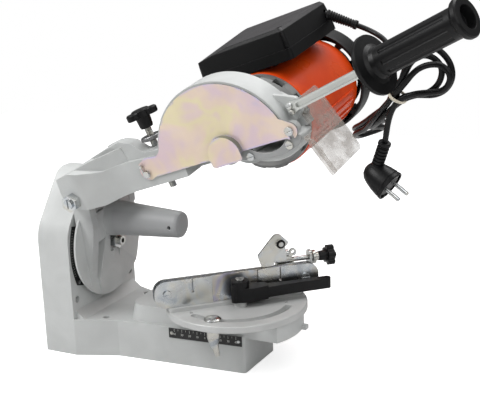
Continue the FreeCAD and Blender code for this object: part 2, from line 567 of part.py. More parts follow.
def guard():
    """The half-round wheel guard with its back wall, hub and motor flange."""
    front, back = GUARD_FRONT, GUARD_BACK
    drum = rod((0, front, 0), (0, back, 0), GUARD_R)
    room = rod((0, front - 1, 0), (0, back - 8, 0), GUARD_R - GUARD_WALL)
    shell = drum.cut(room).cut(block(-100, 100, front - 2, back + 2, -100, -8))
    lip = slab("XZ", [(26, -17), (80, -16), (92, -6), (86, 6), (60, -4), (34, -2), (20, -8)],
               [8, 12, 8, 3, 20, 8, 4], back - 10, back)
    rim_edges = [rounded([V(u, w, v) for u, v in ((22, low), (45, low - 9.6), (61, low - 12.6), (76, low - 11.2),
                                                  (88, low - 7.4), (97 + out, -9), (102 + out, -1), (96, 5), (86, 5))],
                         [0, 14, 16, 14, 10, 5, 3, 3, 0])
                 for w, low, out in ((front + 2.25, -8, -1), (front + 6, -9.6, 0.5))]
    shelf = slab("XZ", [(22, -9.6), (45, -19.2), (61, -22.2), (76, -20.8), (88, -17), (97.5, -9), (102.5, -1), (96, 5),
                        (86, 5)], [0, 14, 16, 14, 10, 5, 3, 3, 0], front + 6, back - 8)
    arch = rod((ARCH[0], front + 1, ARCH[1]), (ARCH[0], back, ARCH[1]), ARCH_R)
    foot_lip = join(Part.makeLoft(rim_edges, True, True), shelf).cut(arch)
    hub = rod((0, back - 8, SPINDLE_V), (0, SHIELD_W0 - 6, SPINDLE_V), 20, 30)
    flange = rod((0, SHIELD_W0 - 7, SPINDLE_V), (0, SHIELD_W0, SPINDLE_V), 33)
    ear = rod((COVER_SCREW[0], front, COVER_SCREW[1]), (COVER_SCREW[0], front + 12, COVER_SCREW[1]), 8)
    ear_web = slab("XZ", [(82, -4), (99, -1), (98, 12), (86, 20)], 0, front, front + 12)
    bar_seat = slab("XZ", [(80, 14), (96, 14), (104, 22), (104, 38), (92, 43), (74, 50)], [0, 4, 4, 5, 5, 0], 3.2, 9)
    shield_seat = slab("XZ", [(80, 4), (102.1, 4), (94.6, 29), (76, 46)], 0, 9, 26)
    cheek_back = slab("XZ", [(-62, -8), (-62, 22), (-84, 30), (-96, 26), (-112, 20), (-112, ARM_LOW), (-90, ARM_LOW)],
                      0, -ARM_HALF, ARM_HALF)
    body = join(shell, lip, foot_lip, hub, flange, ear, ear_web, bar_seat, shield_seat, cheek_back.cut(room))
    bore = rod((0, 0, SPINDLE_V), (0, 60, SPINDLE_V), 15)
    screws = [rod((COVER_SCREW[0], front - 1, COVER_SCREW[1]), (COVER_SCREW[0], front + 10, COVER_SCREW[1]), 2.52)]
    return body.cut(Part.makeCompound([bore, *screws]))


EAR_PIN = (-113.0, 8.5)
COVER_SCREW = (92.0, 9.2)
BRACKET_SCREWS = ((84.5, -6.3), (31.5, -6.9))
ARCH, ARCH_R = (59.0, 24.6), 33.5     # the arch in the crescent plate and the rim behind it
BAR_SCREWS = ((9.0, 3.6), (8.0, -3.9))


def arm_casting():
    """Arm, wheel guard and motor flange, one casting."""
    body = join(arm_beam(), guard())
    (pin_u, pin_v), w = EAR_PIN, -ARM_HALF
    cuts = [rod((STOP_U, STOP_W, -20), (STOP_U, STOP_W, 60), 4 + FIT),
            rod((pin_u, w - 1, pin_v), (pin_u, w + 14, pin_v), 4.02),
            rod((HINGE_U, -80, HINGE_V), (HINGE_U, 80, HINGE_V), 6 + FIT)]
    cuts += [rod((u, GUARD_FRONT, v), (u, GUARD_FRONT + 10, v), 2.52) for u, v in BRACKET_SCREWS]
    cuts += [along_handle(rod((x, -6, z), (x, 7.1, z), 2.02)) for x, z in BAR_SCREWS]
    cuts.append(crescent(GUARD_FRONT - 1, GUARD_FRONT + 2.15))
    return body.cut(Part.makeCompound(cuts))


def stop_screw():
    """The threaded shank of the depth stop."""
    return rod((STOP_U, STOP_W, -21), (STOP_U, STOP_W, 70), 4)


def stop_knob():
    """The black wing knob of the depth stop, with three lobes."""
    base = V(STOP_U, STOP_W, 58)
    hub = revolve([(0, 0), (0, 7.5), (2, 8.4), (14, 9.2), (14, 12), (22, 12), (23.5, 10), (23.5, 0)], base, (0, 0, 1))
    lobes = []
    for i in range(3):
        t = math.radians(120 * i + 15)
        lobe = revolve([(0, 0), (0, 6.9), (1.2, 7.9), (6.8, 7.9), (8.2, 6.4), (8.2, 0)],
                       base + V(13.5 * math.cos(t), 13.5 * math.sin(t), 14.2), (0, 0, 1))
        link = block(0, 13.5, -6, 6, 14.4, 21.8)
        link.rotate(V(0, 0, 0), V(0, 0, 1), math.degrees(t))
        link.translate(base)
        lobes += [lobe, link]
    return join(hub, *lobes).cut(rod((STOP_U, STOP_W, 57), (STOP_U, STOP_W, 70.1), 4.02))


def lock_nut():
    """The knurled disc that locks the depth stop."""
    disc = revolve([(0, 0), (0, 9), (1.5, 13.6), (5, 13.6), (6, 12.6), (6, 0)], (STOP_U, STOP_W, 42), (0, 0, 1))
    return disc.cut(rod((STOP_U, STOP_W, 40), (STOP_U, STOP_W, 50), 4 + FIT))


def guard_cover():
    """The sheet cover of the wheel guard, with ears and a pressed half dome over the spindle."""
    w1, w0 = GUARD_FRONT - 0.1, GUARD_FRONT - 0.1 - COVER_T
    disc = rod((0, w0, 0), (0, w1, 0), COVER_R)
    lower = 2.0
    disc = disc.cut(block(-100, 100, w0 - 1, w1 + 1, -100, lower))
    left = slab("XZ", [(-122.5, 8), (-120.5, 22), (-109, 27.5), (-86, 25.5), (-78, 42), (-70, 42), (-70, lower),
                       (-103, lower), (-113, -1.5)], [9, 4, 8, 12, 0, 0, 0, 4, 9], w0, w1)
    right = join(rod((COVER_SCREW[0], w0, COVER_SCREW[1]), (COVER_SCREW[0], w1, COVER_SCREW[1]), 10),
                 slab("XZ", [(70, 34), (84, 26), (97, 17.8), (94, lower - 0.6), (70, lower)], [0, 4, 0, 0, 0], w0, w1))
    dome_r, dome_u, dome_v = 21.8, 4.6, 5.2
    front = w0 - 7
    press = rod((dome_u, front, dome_v), (dome_u, w1, dome_v), dome_r - 0.6, dome_r)
    skin = press.cut(block(-40, 40, w0 - 12, w1 + 2, -60, lower))
    tab = slab("XZ", [(dome_u - dome_r + 0.6, 5), (dome_u + dome_r - 0.6, 5), (26, -3.5), (23.5, -6.4), (-11.5, -7),
                      (-15.8, -5)], [0, 0, 0.5, 2, 3, 0.5], front, front + 1.6)
    room = rod((dome_u, front + 1.6, dome_v), (dome_u, w1 + 1, dome_v), dome_r - 2)
    body = join(disc, left, right, skin, tab).cut(room)
    holes = [rod((EAR_PIN[0], w0 - 1, EAR_PIN[1]), (EAR_PIN[0], w1 + 1, EAR_PIN[1]), 4 + FIT),
             rod((COVER_SCREW[0], w0 - 1, COVER_SCREW[1]), (COVER_SCREW[0], w1 + 1, COVER_SCREW[1]), 2.6),
             block(COVER_SCREW[0] - 2.6, COVER_SCREW[0] + 2.6, w0 - 1, w1 + 1, -10, COVER_SCREW[1])]
    return body.cut(Part.makeCompound(holes))


def cover_pin():
    """The pin that the cover turns on."""
    (u, v), w = EAR_PIN, GUARD_FRONT
    pin = rod((u, w - 6, v), (u, w + 12, v), 4)
    return pin.cut(ring((u, w - 4.4, v), (u, w - 3.2, v), 5, 3.2))


def cover_clip():
    """The spring clip in the pin's groove: a bent wire."""
    (u, v), w = EAR_PIN, GUARD_FRONT - 3.8
    loop = band("XZ", (u, v), (3.25, 5.0), (-200, 20), w - 0.5, w + 0.5)
    leg = rod((u - 4.2, w, v + 1.5), (u - 3.0, w - 1.5, v + 11), 0.9)
    eye = rod((u - 3.0, w - 3.2, v + 11), (u - 3.0, w + 0.6, v + 11), 2.3)
    return join(loop, leg, eye)


def cover_screw():
    """The slotted screw that keeps the cover shut."""
    u, v = COVER_SCREW
    return slotted_screw((u, GUARD_FRONT + 9, v), (u, GUARD_FRONT - 0.1 - COVER_T - 0.02, v), 5.2, 2.4, 2.5)


def crescent(w0, w1):
    """The crescent plate without its holes, between two distances along the spindle."""
    plate = slab("XZ", [(20.3, 1.6), (100, 1.6), (102.5, -2.2), (96, -9.4), (73, -15.4), (41, -13.2), (18.8, -8.5)],
                 [1, 2, 3, 12, 20, 16, 1], w0, w1)
    return plate.cut(rod((ARCH[0], w0 - 1, ARCH[1]), (ARCH[0], w1 + 1, ARCH[1]), ARCH_R))


def guard_bracket():
    """The crescent plate under the cover, on the right of the guard."""
    plate = crescent(GUARD_FRONT - 0.1, GUARD_FRONT + 2.1)
    return plate.cut(Part.makeCompound([rod((u, -20, v), (u, -10, v), 2.6) for u, v in BRACKET_SCREWS]))


# --- handle and shield, in the arm's frame -------------------------------------------------------------
def along_handle(shape):
    """Puts a shape, modelled along X from the origin, on the handle's axis."""
    placed = shape.copy()
    placed.rotate(V(0, 0, 0), V(0, 1, 0), -HANDLE_RISE)
    placed.rotate(V(0, 0, 0), V(0, 0, 1), HANDLE_YAW)
    placed.translate(HANDLE_START)
    return placed


def handle_bar():
    """The channel bar from the guard to the grip, with its rod inside the grip."""
    bar = slab("XZ", [(3, -8), (16, -5), (126, -5), (126, 5), (16, 5), (3, 8)], [3, 10, 0, 0, 10, 3], -4, 4)
    groove = slab("XZ", [(16, -2.6), (127, -2.6), (127, 2.6), (16, 2.6)], [2.5, 0, 0, 2.5], -4.1, -1.2)
    inner = rod((125, 0, 0), (234, 0, 0), 5)
    holes = [rod((x, -5, z), (x, 5, z), 2.02) for x, z in BAR_SCREWS]
    return along_handle(join(bar, inner).cut(Part.makeCompound([groove, *holes])))


def hand_grip():
    """The black grip: round guard flange, fluted body and a flared open end."""
    body = revolve([(126.1, 5.1), (124, 32), (126, 33), (129.5, 33), (131.5, 22), (134, 17.8), (139, 16.5), (235, 16.5),
                    (238, 20.5), (240, 21.5), (244, 21.5), (246, 20), (246, 13), (236, 11), (236, 5.1)],
                   (0, 0, 0), (1, 0, 0))
    flutes = []
    for i in range(8):
        t = math.radians(45 * i)
        y, z = 18.6 * math.cos(t), 18.6 * math.sin(t)
        flutes.append(rod((146, y, z), (228, y, z), 3.6))
    return along_handle(body.cut(Part.makeCompound(flutes)))


SHIELD_TOP, SHIELD_LOW = (93.5, 33.0), (119.5, -53.5)


def on_shield(down, w, out):
    """A point given by its distance down the shield's plate, its place across and its height off the plate."""
    (u0, v0), (u1, v1) = SHIELD_TOP, SHIELD_LOW
    length = math.hypot(u1 - u0, v1 - v0)
    along = V((u1 - u0) / length, 0, (v1 - v0) / length)
    return V(u0, w, v0) + along * down + V(-along.z, 0, along.x) * out


SHIELD_LENGTH, SHIELD_SIDE = 90.0, 70.0
SHIELD_FREE = 38.0          # below this the plate reaches the front, past the guard's ears
SHIELD_SCREWS = (14.5, 21.5)


def clear_shield():
    """The clear plate beside the guard, stepped round the handle's seat, with one bent edge."""
    front, side = GUARD_FRONT, SHIELD_SIDE
    outline = [(0, 9.4), (SHIELD_FREE, 9.4), (SHIELD_FREE, front), (SHIELD_LENGTH, front),
               (SHIELD_LENGTH, side), (0, side)]
    wire = rounded([on_shield(d, w, 0) for d, w in outline], [2, 4, 3, 2, 7, 5])
    plate = Part.Face(wire).extrude(on_shield(0, 0, 2.2) - on_shield(0, 0, 0))
    edge = rounded([on_shield(d, front, out) for d, out in
                    ((SHIELD_FREE, 0), (SHIELD_LENGTH, 0), (SHIELD_LENGTH, 8), (SHIELD_FREE + 8, 8))], [0, 0, 3, 5])
    lip = Part.Face(edge).extrude(V(0, 2.2, 0))
    holes = [rod(on_shield(16, w, -3), on_shield(16, w, 6), 2.1) for w in SHIELD_SCREWS]
    return join(plate, lip).cut(Part.makeCompound(holes))


def guard_screws():
    """The small slotted screws of the guard: crescent plate, handle bar and shield."""
    bracket = [slotted_screw((u, GUARD_FRONT + 9, v), (u, GUARD_FRONT - 0.12, v), 4.8, 2.2, 2.5)
               for u, v in BRACKET_SCREWS]
    bar = [along_handle(slotted_screw((x, 7, z), (x, -4.02, z), 3.6, 2.6, 2.0)) for x, z in BAR_SCREWS]
    shield = [slotted_screw(on_shield(16, w, 0.2), on_shield(16, w, 2.22), 3.2, 1.8, 2) for w in SHIELD_SCREWS]
    return Part.makeCompound(bracket + bar + shield)


# --- motor --------------------------------------------------------------------------------------------
def end_shield():
    """The grey front shield of the motor, with cooling slots round its rim."""
    w0 = SHIELD_W0 + 0.02
    bell = revolve([(w0, 15), (w0, 34), (w0 + 6, 37), (82, 54), (85, 59), (SHIELD_W1, 59), (SHIELD_W1, 53), (87, 53),
                    (84, 49.5), (57, 34), (57, 20), (67, 20), (67, 16.02), (53.9, 16.02), (53.9, 15)],
                   (0, 0, 0), (0, 1, 0))
    slots = []
    for i in range(12):
        slot = block(50, 62, SHIELD_W1 - 14, SHIELD_W1 - 4, -7, 7)
        slot.rotate(V(0, 0, 0), V(0, 1, 0), 30 * i + 15)
        slots.append(slot)
    return bell.cut(Part.makeCompound(slots))


def motor_housing():
    """The orange motor shell with its rear wall and bearing seat."""
    shell = revolve([(SHIELD_W1 + 0.02, 56), (SHIELD_W1 + 0.02, 59.5), (SHIELD_W1 + 2, MOTOR_R),
                     (HOUSING_W1 - 5, MOTOR_R), (HOUSING_W1, 58), (HOUSING_W1, 12), (HOUSING_W1 - 14, 12),
                     (HOUSING_W1 - 14, 22), (HOUSING_W1 - 7, 26), (HOUSING_W1 - 7, 56)], (0, 0, 0), (0, 1, 0))
    seat = rod((0, HOUSING_W1 - 15, 0), (0, HOUSING_W1 - 3, 0), 16.02)
    ribs = []
    for i in range(4):
        rib = block(MOTOR_R - 3, MOTOR_R + 1.8, SHIELD_W1 + 14, HOUSING_W1 - 20, -1.6, 1.6)
        rib.rotate(V(0, 0, 0), V(0, 1, 0), 20 + 12 * i)
        ribs.append(rib)
    return join(shell, *ribs).cut(seat)


def rear_cover():
    """The black fan cover, held off the shell by blocks so that air can leave."""
    cup = revolve([(REAR_W0, 65.5), (REAR_W0, 68), (REAR_W0 + 3, REAR_R), (REAR_W1 - 6, REAR_R),
                   (REAR_W1, 63), (REAR_W1, 0), (REAR_W1 - 3, 0), (REAR_W1 - 3, 62), (REAR_W1 - 7, 65.5)],
                  (0, 0, 0), (0, 1, 0))
    feet, slots = [], []
    for i in range(8):
        foot_ = block(57.8, 67, REAR_W0, REAR_W0 + 16, -4, 4)
        foot_.rotate(V(0, 0, 0), V(0, 1, 0), 45 * i + 10)
        feet.append(foot_)
    inner = rod((0, REAR_W0 - 1, 0), (0, HOUSING_W1 + 0.02, 0), MOTOR_R + 0.02)
    for k, radius in enumerate((20, 32, 44, 54)):
        for i in range(4):
            slots.append(band("XZ", (0, 0), (radius, radius + 5), (90 * i + 10, 90 * i + 80),
                              REAR_W1 - 5, REAR_W1 + 1))
    return join(cup, *feet).cut(Part.makeCompound([inner, *slots]))


def stator():
    """The laminated stator."""
    return ring((0, 114, 0), (0, 162, 0), 55.98, 30.5)


def rotor_shaft():
    """The rotor and its shaft, which ends in the wheel seat and the spindle thread."""
    return revolve([(-22.8, 0), (-22.8, 6), (-11, 6), (-11, WHEEL_BORE_R), (2, WHEEL_BORE_R), (2, 9.5), (50, 9.5),
                    (50, 7.5), (106, 7.5), (106, 12), (114, 12), (114, 30), (162, 30), (162, 12), (170, 12),
                    (170, 7.5), (266, 7.5), (266, 0)], (0, 0, 0), (0, 1, 0))


def bearings():
    """The two ball bearings."""
    return Part.makeCompound([ring((0, w, 0), (0, w + 11, 0), 16, 7.52) for w in (SHIELD_W0 + 9, HOUSING_W1 - 14)])


def fan():
    """The cooling fan on the rear end of the shaft."""
    hub = ring((0, 251, 0), (0, 264, 0), 14, 7.52)
    back = ring((0, 251, 0), (0, 253, 0), 54, 13)
    blades = []
    for i in range(9):
        blade = block(13, 54, 252.5, 264, -1, 1)
        blade.rotate(V(0, 0, 0), V(0, 1, 0), 40 * i)
        blades.append(blade)
    return join(hub, back, *blades)


def flanges():
    """The inner and the outer wheel flange."""
    inner = revolve([(2.2, 9.52), (2.2, 12.5), (-0.8, 13.5), (-0.8, 16.5), (3, 16.5), (7, 14), (7, 9.52)],
                    (0, 0, 0), (0, 1, 0))
    outer = revolve([(-6.2, 8.02), (-6.2, 16.5), (-8.5, 16.5), (-11, 12.5), (-11, 8.02)], (0, 0, 0), (0, 1, 0))
    return Part.makeCompound([inner, outer])


def spindle_nut():
    """The nut that holds the wheel."""
    return hexagon((0, -18.5, 0), (0, -11.1, 0), 18).cut(rod((0, -24, 0), (0, -8, 0), 6.02))


# --- electrics ----------------------------------------------------------------------------------------
LID_SCREWS = ((-33.0, 120.0, 100.2), (57.5, 109.0, 101.6), (57.5, 222.0, 101.6), (-55.0, 222.0, 101.2))
SWITCH_U, SWITCH_V = -64.0, 88.5


def box_outline(inset):
    """The plan outline of the switch box, drawn in by an inset."""
    u0, u1, w0, w1 = BOX_LEFT + inset, BOX_RIGHT - inset, BOX_W0 + inset, BOX_W1 - inset
    return [(u0, w0), (u1, w0), (u1, w1), (u0, w1)]


def screw_post(u, w, low, high):
    """A square post for a lid screw."""
    return slab("XY", [(u - 5, w - 5), (u + 5, w - 5), (u + 5, w + 5), (u - 5, w + 5)], 3, low, high)


def switch_box():
    """The lower half of the switch box, with the saddle that sits on the motor."""
    tray = slab("XY", box_outline(0), 5, BOX_LOW, BOX_SEAM)
    tray = tray.cut(slab("XY", box_outline(3), 3, BOX_LOW + 3, BOX_SEAM + 1))
    saddle = block(-24, 24, 125, 205, 50, BOX_LOW + 1).cut(
        rod((0, 90, SPINDLE_V), (0, 240, SPINDLE_V), MOTOR_R + 0.02))
    lugs = [screw_post(u, w, BOX_LOW, BOX_SEAM) for u, w, _ in LID_SCREWS]
    holes = [rod((u, w, BOX_LOW + 2), (u, w, BOX_SEAM + 1), 1.8) for u, w, _ in LID_SCREWS]
    return join(tray, saddle, *lugs).cut(Part.makeCompound(holes))


GLAND_START, GLAND_END = V(65.6, 220.0, 88.0), V(98.0, 224.0, 61.0)


def corner_slope(drop):
    """What lies above the sloping part of the lid, from its ridge down to the front left corner."""
    near, far = V(-16, 104, BOX_TOP - drop), V(-54, 228, BOX_TOP - drop)
    ridge = (far - near).normalize()
    down = V(-ridge.y, ridge.x, 0) * 80 - V(0, 0, 12.2)
    near = near - ridge * 60
    face = Part.Face(Part.makePolygon([near, near + down, near + down + V(0, 0, 40), near + V(0, 0, 40), near]))
    return face.extrude(ridge * 260)


def box_lid():
    """The lid of the switch box: steep sides, a sloping front corner and a channel beside it."""
    steps = [(0, BOX_SEAM + 0.02), (0.8, 92), (1.6, 101), (4.5, BOX_TOP)]
    outer = Part.makeLoft([rounded([V(a, b, z) for a, b in box_outline(i)], 5) for i, z in steps], True, True)
    inner = Part.makeLoft([rounded([V(a, b, z) for a, b in box_outline(i + 3)], 3)
                           for i, z in [(0, BOX_SEAM - 1), (0.8, 91), (1.6, 99), (4, BOX_TOP - 3)]], True, True)
    shell = outer.cut(corner_slope(0)).cut(inner.cut(corner_slope(3.2)))
    posts = [screw_post(u, w, BOX_SEAM + 0.02, seat) for u, w, seat in LID_SCREWS]
    cuts = [rod((u, w, 60), (u, w, 120), 2.02) for u, w, _ in LID_SCREWS]
    cuts += [rod((u, w, seat), (u, w, 120), 4.2) for u, w, seat in LID_SCREWS]
    cuts.append(block(BOX_RIGHT - 6, BOX_RIGHT + 3, BOX_W0 - 1, BOX_W0 + 2.4, 76, 99))
    cuts.append(block(BOX_LEFT - 1, BOX_LEFT + 5, 150, 172, 82, 95))
    cuts.append(rod((SWITCH_U, 148, SWITCH_V), (SWITCH_U, 174, SWITCH_V), 1.25))
    along = (GLAND_END - GLAND_START).normalize()
    cuts.append(rod(GLAND_START - along * 12, GLAND_START + along * 12, 4.2))
    cuts.append(rod(GLAND_START + along * 2.9, GLAND_START + along * 15, 7.0))
    return join(shell, *posts).cut(Part.makeCompound(cuts))


def lid_screws():
    """The four screws of the lid."""
    return Part.makeCompound([slotted_screw((u, w, 70), (u, w, seat + 0.02), 4.0, 2.4, 1.78)
                              for u, w, seat in LID_SCREWS])


def rocker_switch():
    """The rocker in the side of the lid, with its pivot pins."""
    rocker = slab("XZ", [(-69, 82.4), (-67.3, SWITCH_V), (-68.7, 94.6), (-61, 93.6), (-61, 83.4)],
                  [0.5, 0, 0.5, 1, 1], 150.4, 171.6)
    return join(rocker, rod((SWITCH_U, 148.6, SWITCH_V), (SWITCH_U, 173.4, SWITCH_V), 1.2))


def cord_gland():
    """The tapered strain relief of the cord, with a ring at its end."""
    along = (GLAND_END - GLAND_START).normalize()
    outside = GLAND_START + along * 3
    body = rod(outside, GLAND_END, 6.8, 5.3)
    neck = rod(GLAND_START - along * 2, outside + along * 0.5, 4.1)
    end_ring = rod(GLAND_END - along * 4, GLAND_END, 6.0)
    return join(body, neck, end_ring)


TIE = V(207, 26, 2)
LEAD_ROUTE = [(98, 224, 61), (119, 226.6, 43.5), (146, 190, 26), (164, 140, 15), (180, 96, 9), (194, 60, 6),
              (203, 33, 3)]
BIGHT_ROUTE = [(212, 25, 2), (182, 41, -12), (154, 62, -24), (130, 84, -33), (112, 112, -42), (104, 142, -52)]
PLUG_ROUTE = [(201, 23, -4), (194, 21, -10), (186, 22, -22), (180, 24, -32), (173, 26, -43)]


def cord_lead():
    """The cord from the strain relief to the tied hank."""
    return cord_tube(LEAD_ROUTE, CORD_R)


def cord_hank():
    """The tied hank as one solid: a ring of two turns on one side and a flat bight on the other."""
    outside = slab("XZ", [(202, -6), (202, 8), (240, 52), (262, 52), (279, 30), (279, -2), (262, -14), (225, -14)],
                   [8, 16, 20, 18, 24, 22, 18, 20], 20, 30)
    inside = slab("XZ", [(219, 3), (244, 38), (257, 39), (267, 26), (267, 4), (257, -3), (226, -3)],
                  [4, 12, 12, 14, 12, 10, 6], 19, 31)
    return join(outside.cut(inside), cord_tube(BIGHT_ROUTE, 6.0))


def cord_tie():
    """The twisted tie round the hank."""
    axis = V(0.75, -0.1, 0.65)
    return ring(TIE - axis * 3, TIE + axis * 3, 11.0, 9.4)


def plug_lead():
    """The cord from the tie to the plug."""
    return cord_tube(PLUG_ROUTE, CORD_R)


def plug():
    """The angled earthed plug: ribbed sleeve, body, round face and two pins."""
    sleeve = revolve([(0, 0), (0, 3.9)] + [(3 + 3 * i + d, r) for i in range(8) for d, r in ((0, 4.3), (1.8, 5.4), (2.2, 4.4))]
                     + [(30, 6.5), (30, 0)], (0, 0, 52), (0, 0, -1))
    neck = rod((0, 0, 24), (0, 0, 4), 8, 13)
    face = revolve([(-9, 0), (-9, 10), (-3, 16.5), (4, 18.6), (15, 18.6), (15, 16.4), (10, 16.4), (10, 0)],
                   (0, 0, 0), (1, 0, 0))
    pins = [rod((9, s * 9.5, 0), (29, s * 9.5, 0), 2.4) for s in (-1, 1)]
    body = join(sleeve, neck, face, *pins)
    body = body.cut(rod((8, 0, 6), (12, 0, 6), 2.4))
    body.rotate(V(0, 0, 0), V(0, 0, 1), -22)
    body.rotate(V(0, 0, 0), V(0, 1, 0), 36.9)
    body.translate(V(173, 26, -43) - V(0.6, 0, 0.8) * 52)
    return body


NODES = {
    "base_casting": base_casting, "tilt_scale": tilt_scale, "table_scale": table_scale,
    "scale_screws": scale_screws, "tilt_bolt": tilt_bolt, "tilt_nut": tilt_nut,
    "table_pivot_bolt": table_pivot_bolt, "table_pivot_nut": table_pivot_nut,
    "table_clamp_bolt": table_clamp_bolt, "table_clamp_nut": table_clamp_nut,
}
TABLE_NODES = {
    "turntable": turntable, "rail_rear": rail_rear, "rail_front": rail_front,
    "cheek_left": lambda: cheek(RAIL_LEFT, -31, 14, 1, -55.5), "cheek_right": lambda: cheek(27, RAIL_RIGHT, 1, 14, 55.5),
    "rail_screws": rail_screws, "lever_bolt": lever_bolt, "clamp_lever": clamp_lever,
    "stop_bracket": stop_bracket, "stop_carriage": stop_carriage, "pawl": pawl, "pawl_pin": pawl_pin,
    "feed_screw": feed_screw, "feed_knob": feed_knob,
}
HEAD_NODES = {
    "head_casting": head_casting, "hinge_bolt": hinge_bolt, "hinge_nut": hinge_nut,
    "return_spring": return_spring,
}
ARM_NODES = {
    "arm_casting": arm_casting, "stop_screw": stop_screw, "stop_knob": stop_knob, "lock_nut": lock_nut,
    "guard_cover": guard_cover, "cover_pin": cover_pin, "cover_clip": cover_clip, "cover_screw": cover_screw,
    "guard_bracket": guard_bracket, "guard_screws": guard_screws, "handle_bar": handle_bar,
    "hand_grip": hand_grip, "clear_shield": clear_shield,
    "switch_box": switch_box, "box_lid": box_lid,
    "lid_screws": lid_screws, "rocker_switch": rocker_switch, "cord_gland": cord_gland,
}
SPINDLE_NODES = {
    "end_shield": end_shield, "motor_housing": motor_housing, "rear_cover": rear_cover, "stator": stator,
    "rotor_shaft": rotor_shaft, "bearings": bearings, "fan": fan, "flanges": flanges, "spindle_nut": spindle_nut,
}
CORD_NODES = {"cord_lead": cord_lead, "cord_hank": cord_hank, "cord_tie": cord_tie, "plug_lead": plug_lead, "plug": plug}


def main():
    """Writes one STEP file for each node."""
    os.makedirs("parts", exist_ok=True)
    groups = [(NODES, lambda s: s), (TABLE_NODES, on_table), (HEAD_NODES, on_head), (ARM_NODES, on_arm),
              (SPINDLE_NODES, on_spindle), (CORD_NODES, on_arm)]
    for nodes, put in groups:
        for name, make in nodes.items():
            shape = put(make())
            if not shape.isValid() or not shape.Solids:
                print("CHECK", name, "valid", shape.isValid(), "solids", len(shape.Solids))
            elif len(shape.Solids) > 1 and shape.ShapeType != "Compound":
                print("note", name, "has", len(shape.Solids), "solids")
            shape.exportStep("parts/%s.step" % name)
    print("written", sum(len(nodes) for nodes, _ in groups), "nodes")


main()
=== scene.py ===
"""Looks of a saw-chain sharpener: finishes, scales, threads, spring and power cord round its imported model.

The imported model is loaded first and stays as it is. Each sub-assembly is a class that dresses its own nodes
and builds the pieces that the plain solids leave out. Sizes are millimetres in the sub-assembly's own frame
and are brought to metres in the model's frame when a mesh is finished.
"""
from __future__ import annotations

import logging
import math
from dataclasses import dataclass, field
from enum import Enum

import bmesh
import bpy
from mathutils import Matrix, Vector


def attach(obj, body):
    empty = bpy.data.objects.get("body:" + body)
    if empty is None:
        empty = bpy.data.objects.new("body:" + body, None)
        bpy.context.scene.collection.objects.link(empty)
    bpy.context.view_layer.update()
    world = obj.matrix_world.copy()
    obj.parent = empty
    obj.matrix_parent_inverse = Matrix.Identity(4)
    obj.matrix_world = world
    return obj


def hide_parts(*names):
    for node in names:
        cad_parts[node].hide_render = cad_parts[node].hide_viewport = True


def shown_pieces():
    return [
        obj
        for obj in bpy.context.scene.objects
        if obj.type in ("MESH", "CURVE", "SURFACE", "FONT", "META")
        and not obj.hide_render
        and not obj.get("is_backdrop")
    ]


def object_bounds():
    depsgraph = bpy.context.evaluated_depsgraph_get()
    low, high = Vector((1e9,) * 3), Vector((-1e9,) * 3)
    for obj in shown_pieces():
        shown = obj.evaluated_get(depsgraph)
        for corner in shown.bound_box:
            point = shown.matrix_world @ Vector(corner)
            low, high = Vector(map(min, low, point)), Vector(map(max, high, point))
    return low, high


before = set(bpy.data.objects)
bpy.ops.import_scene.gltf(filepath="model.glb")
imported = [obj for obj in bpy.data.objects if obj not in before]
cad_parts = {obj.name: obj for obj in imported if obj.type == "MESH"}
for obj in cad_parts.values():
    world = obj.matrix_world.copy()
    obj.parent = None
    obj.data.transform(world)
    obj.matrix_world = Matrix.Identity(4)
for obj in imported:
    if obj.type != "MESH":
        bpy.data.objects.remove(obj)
MODEL_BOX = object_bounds()
LOG = logging.getLogger("sharpener")

Colour = tuple[float, float, float, float]
MM = 0.001
HEAD_TILT = math.radians(9)
ARM_RAISE = math.radians(19)
TABLE_TURN = math.radians(44)
TILT_AXIS_Z = 135.0
HINGE = Vector((-93.0, 0.0, 215.0))
HINGE_IN_ARM = Vector((-199.0, 0.0, 12.0))
TABLE_CENTRE = Vector((85.0, 0.0, 0.0))
GLAND_START = (65.6, 220, 88)
CORD_EXIT = (98, 224, 61)


class Frame(Enum):
    """The frames that pieces are modelled in, each as a matrix to the model's frame in metres."""

    BASE = Matrix.Scale(MM, 4)
    HEAD = (Matrix.Scale(MM, 4) @ Matrix.Translation((0, 0, TILT_AXIS_Z))
            @ Matrix.Rotation(HEAD_TILT, 4, "X") @ Matrix.Translation((0, 0, -TILT_AXIS_Z)))
    ARM = HEAD @ Matrix.Translation(HINGE) @ Matrix.Rotation(-ARM_RAISE, 4, "Y") @ Matrix.Translation(-HINGE_IN_ARM)
    TABLE = Matrix.Scale(MM, 4) @ Matrix.Translation(TABLE_CENTRE) @ Matrix.Rotation(TABLE_TURN, 4, "Z")


def srgb(red: int, green: int, blue: int) -> Colour:
    """Turns a display colour of 0 to 255 into the linear colour that a shader takes."""
    linear = [(c / 255 / 12.92) if c <= 10 else ((c / 255 + 0.055) / 1.055) ** 2.4 for c in (red, green, blue)]
    return (*linear, 1.0)


# --- shader helpers -----------------------------------------------------------------------------------
def component(tree: bpy.types.NodeTree, vector: bpy.types.NodeSocket, axis: str) -> bpy.types.NodeSocket:
    """Takes one component of a vector."""
    split = tree.nodes.new("ShaderNodeSeparateXYZ")
    tree.links.new(vector, split.inputs["Vector"])
    return split.outputs[axis]


def facing(tree: bpy.types.NodeTree, axis: str) -> bpy.types.NodeSocket:
    """Takes one component of the surface normal."""
    return component(tree, tree.nodes.new("ShaderNodeNewGeometry").outputs["Normal"], axis)


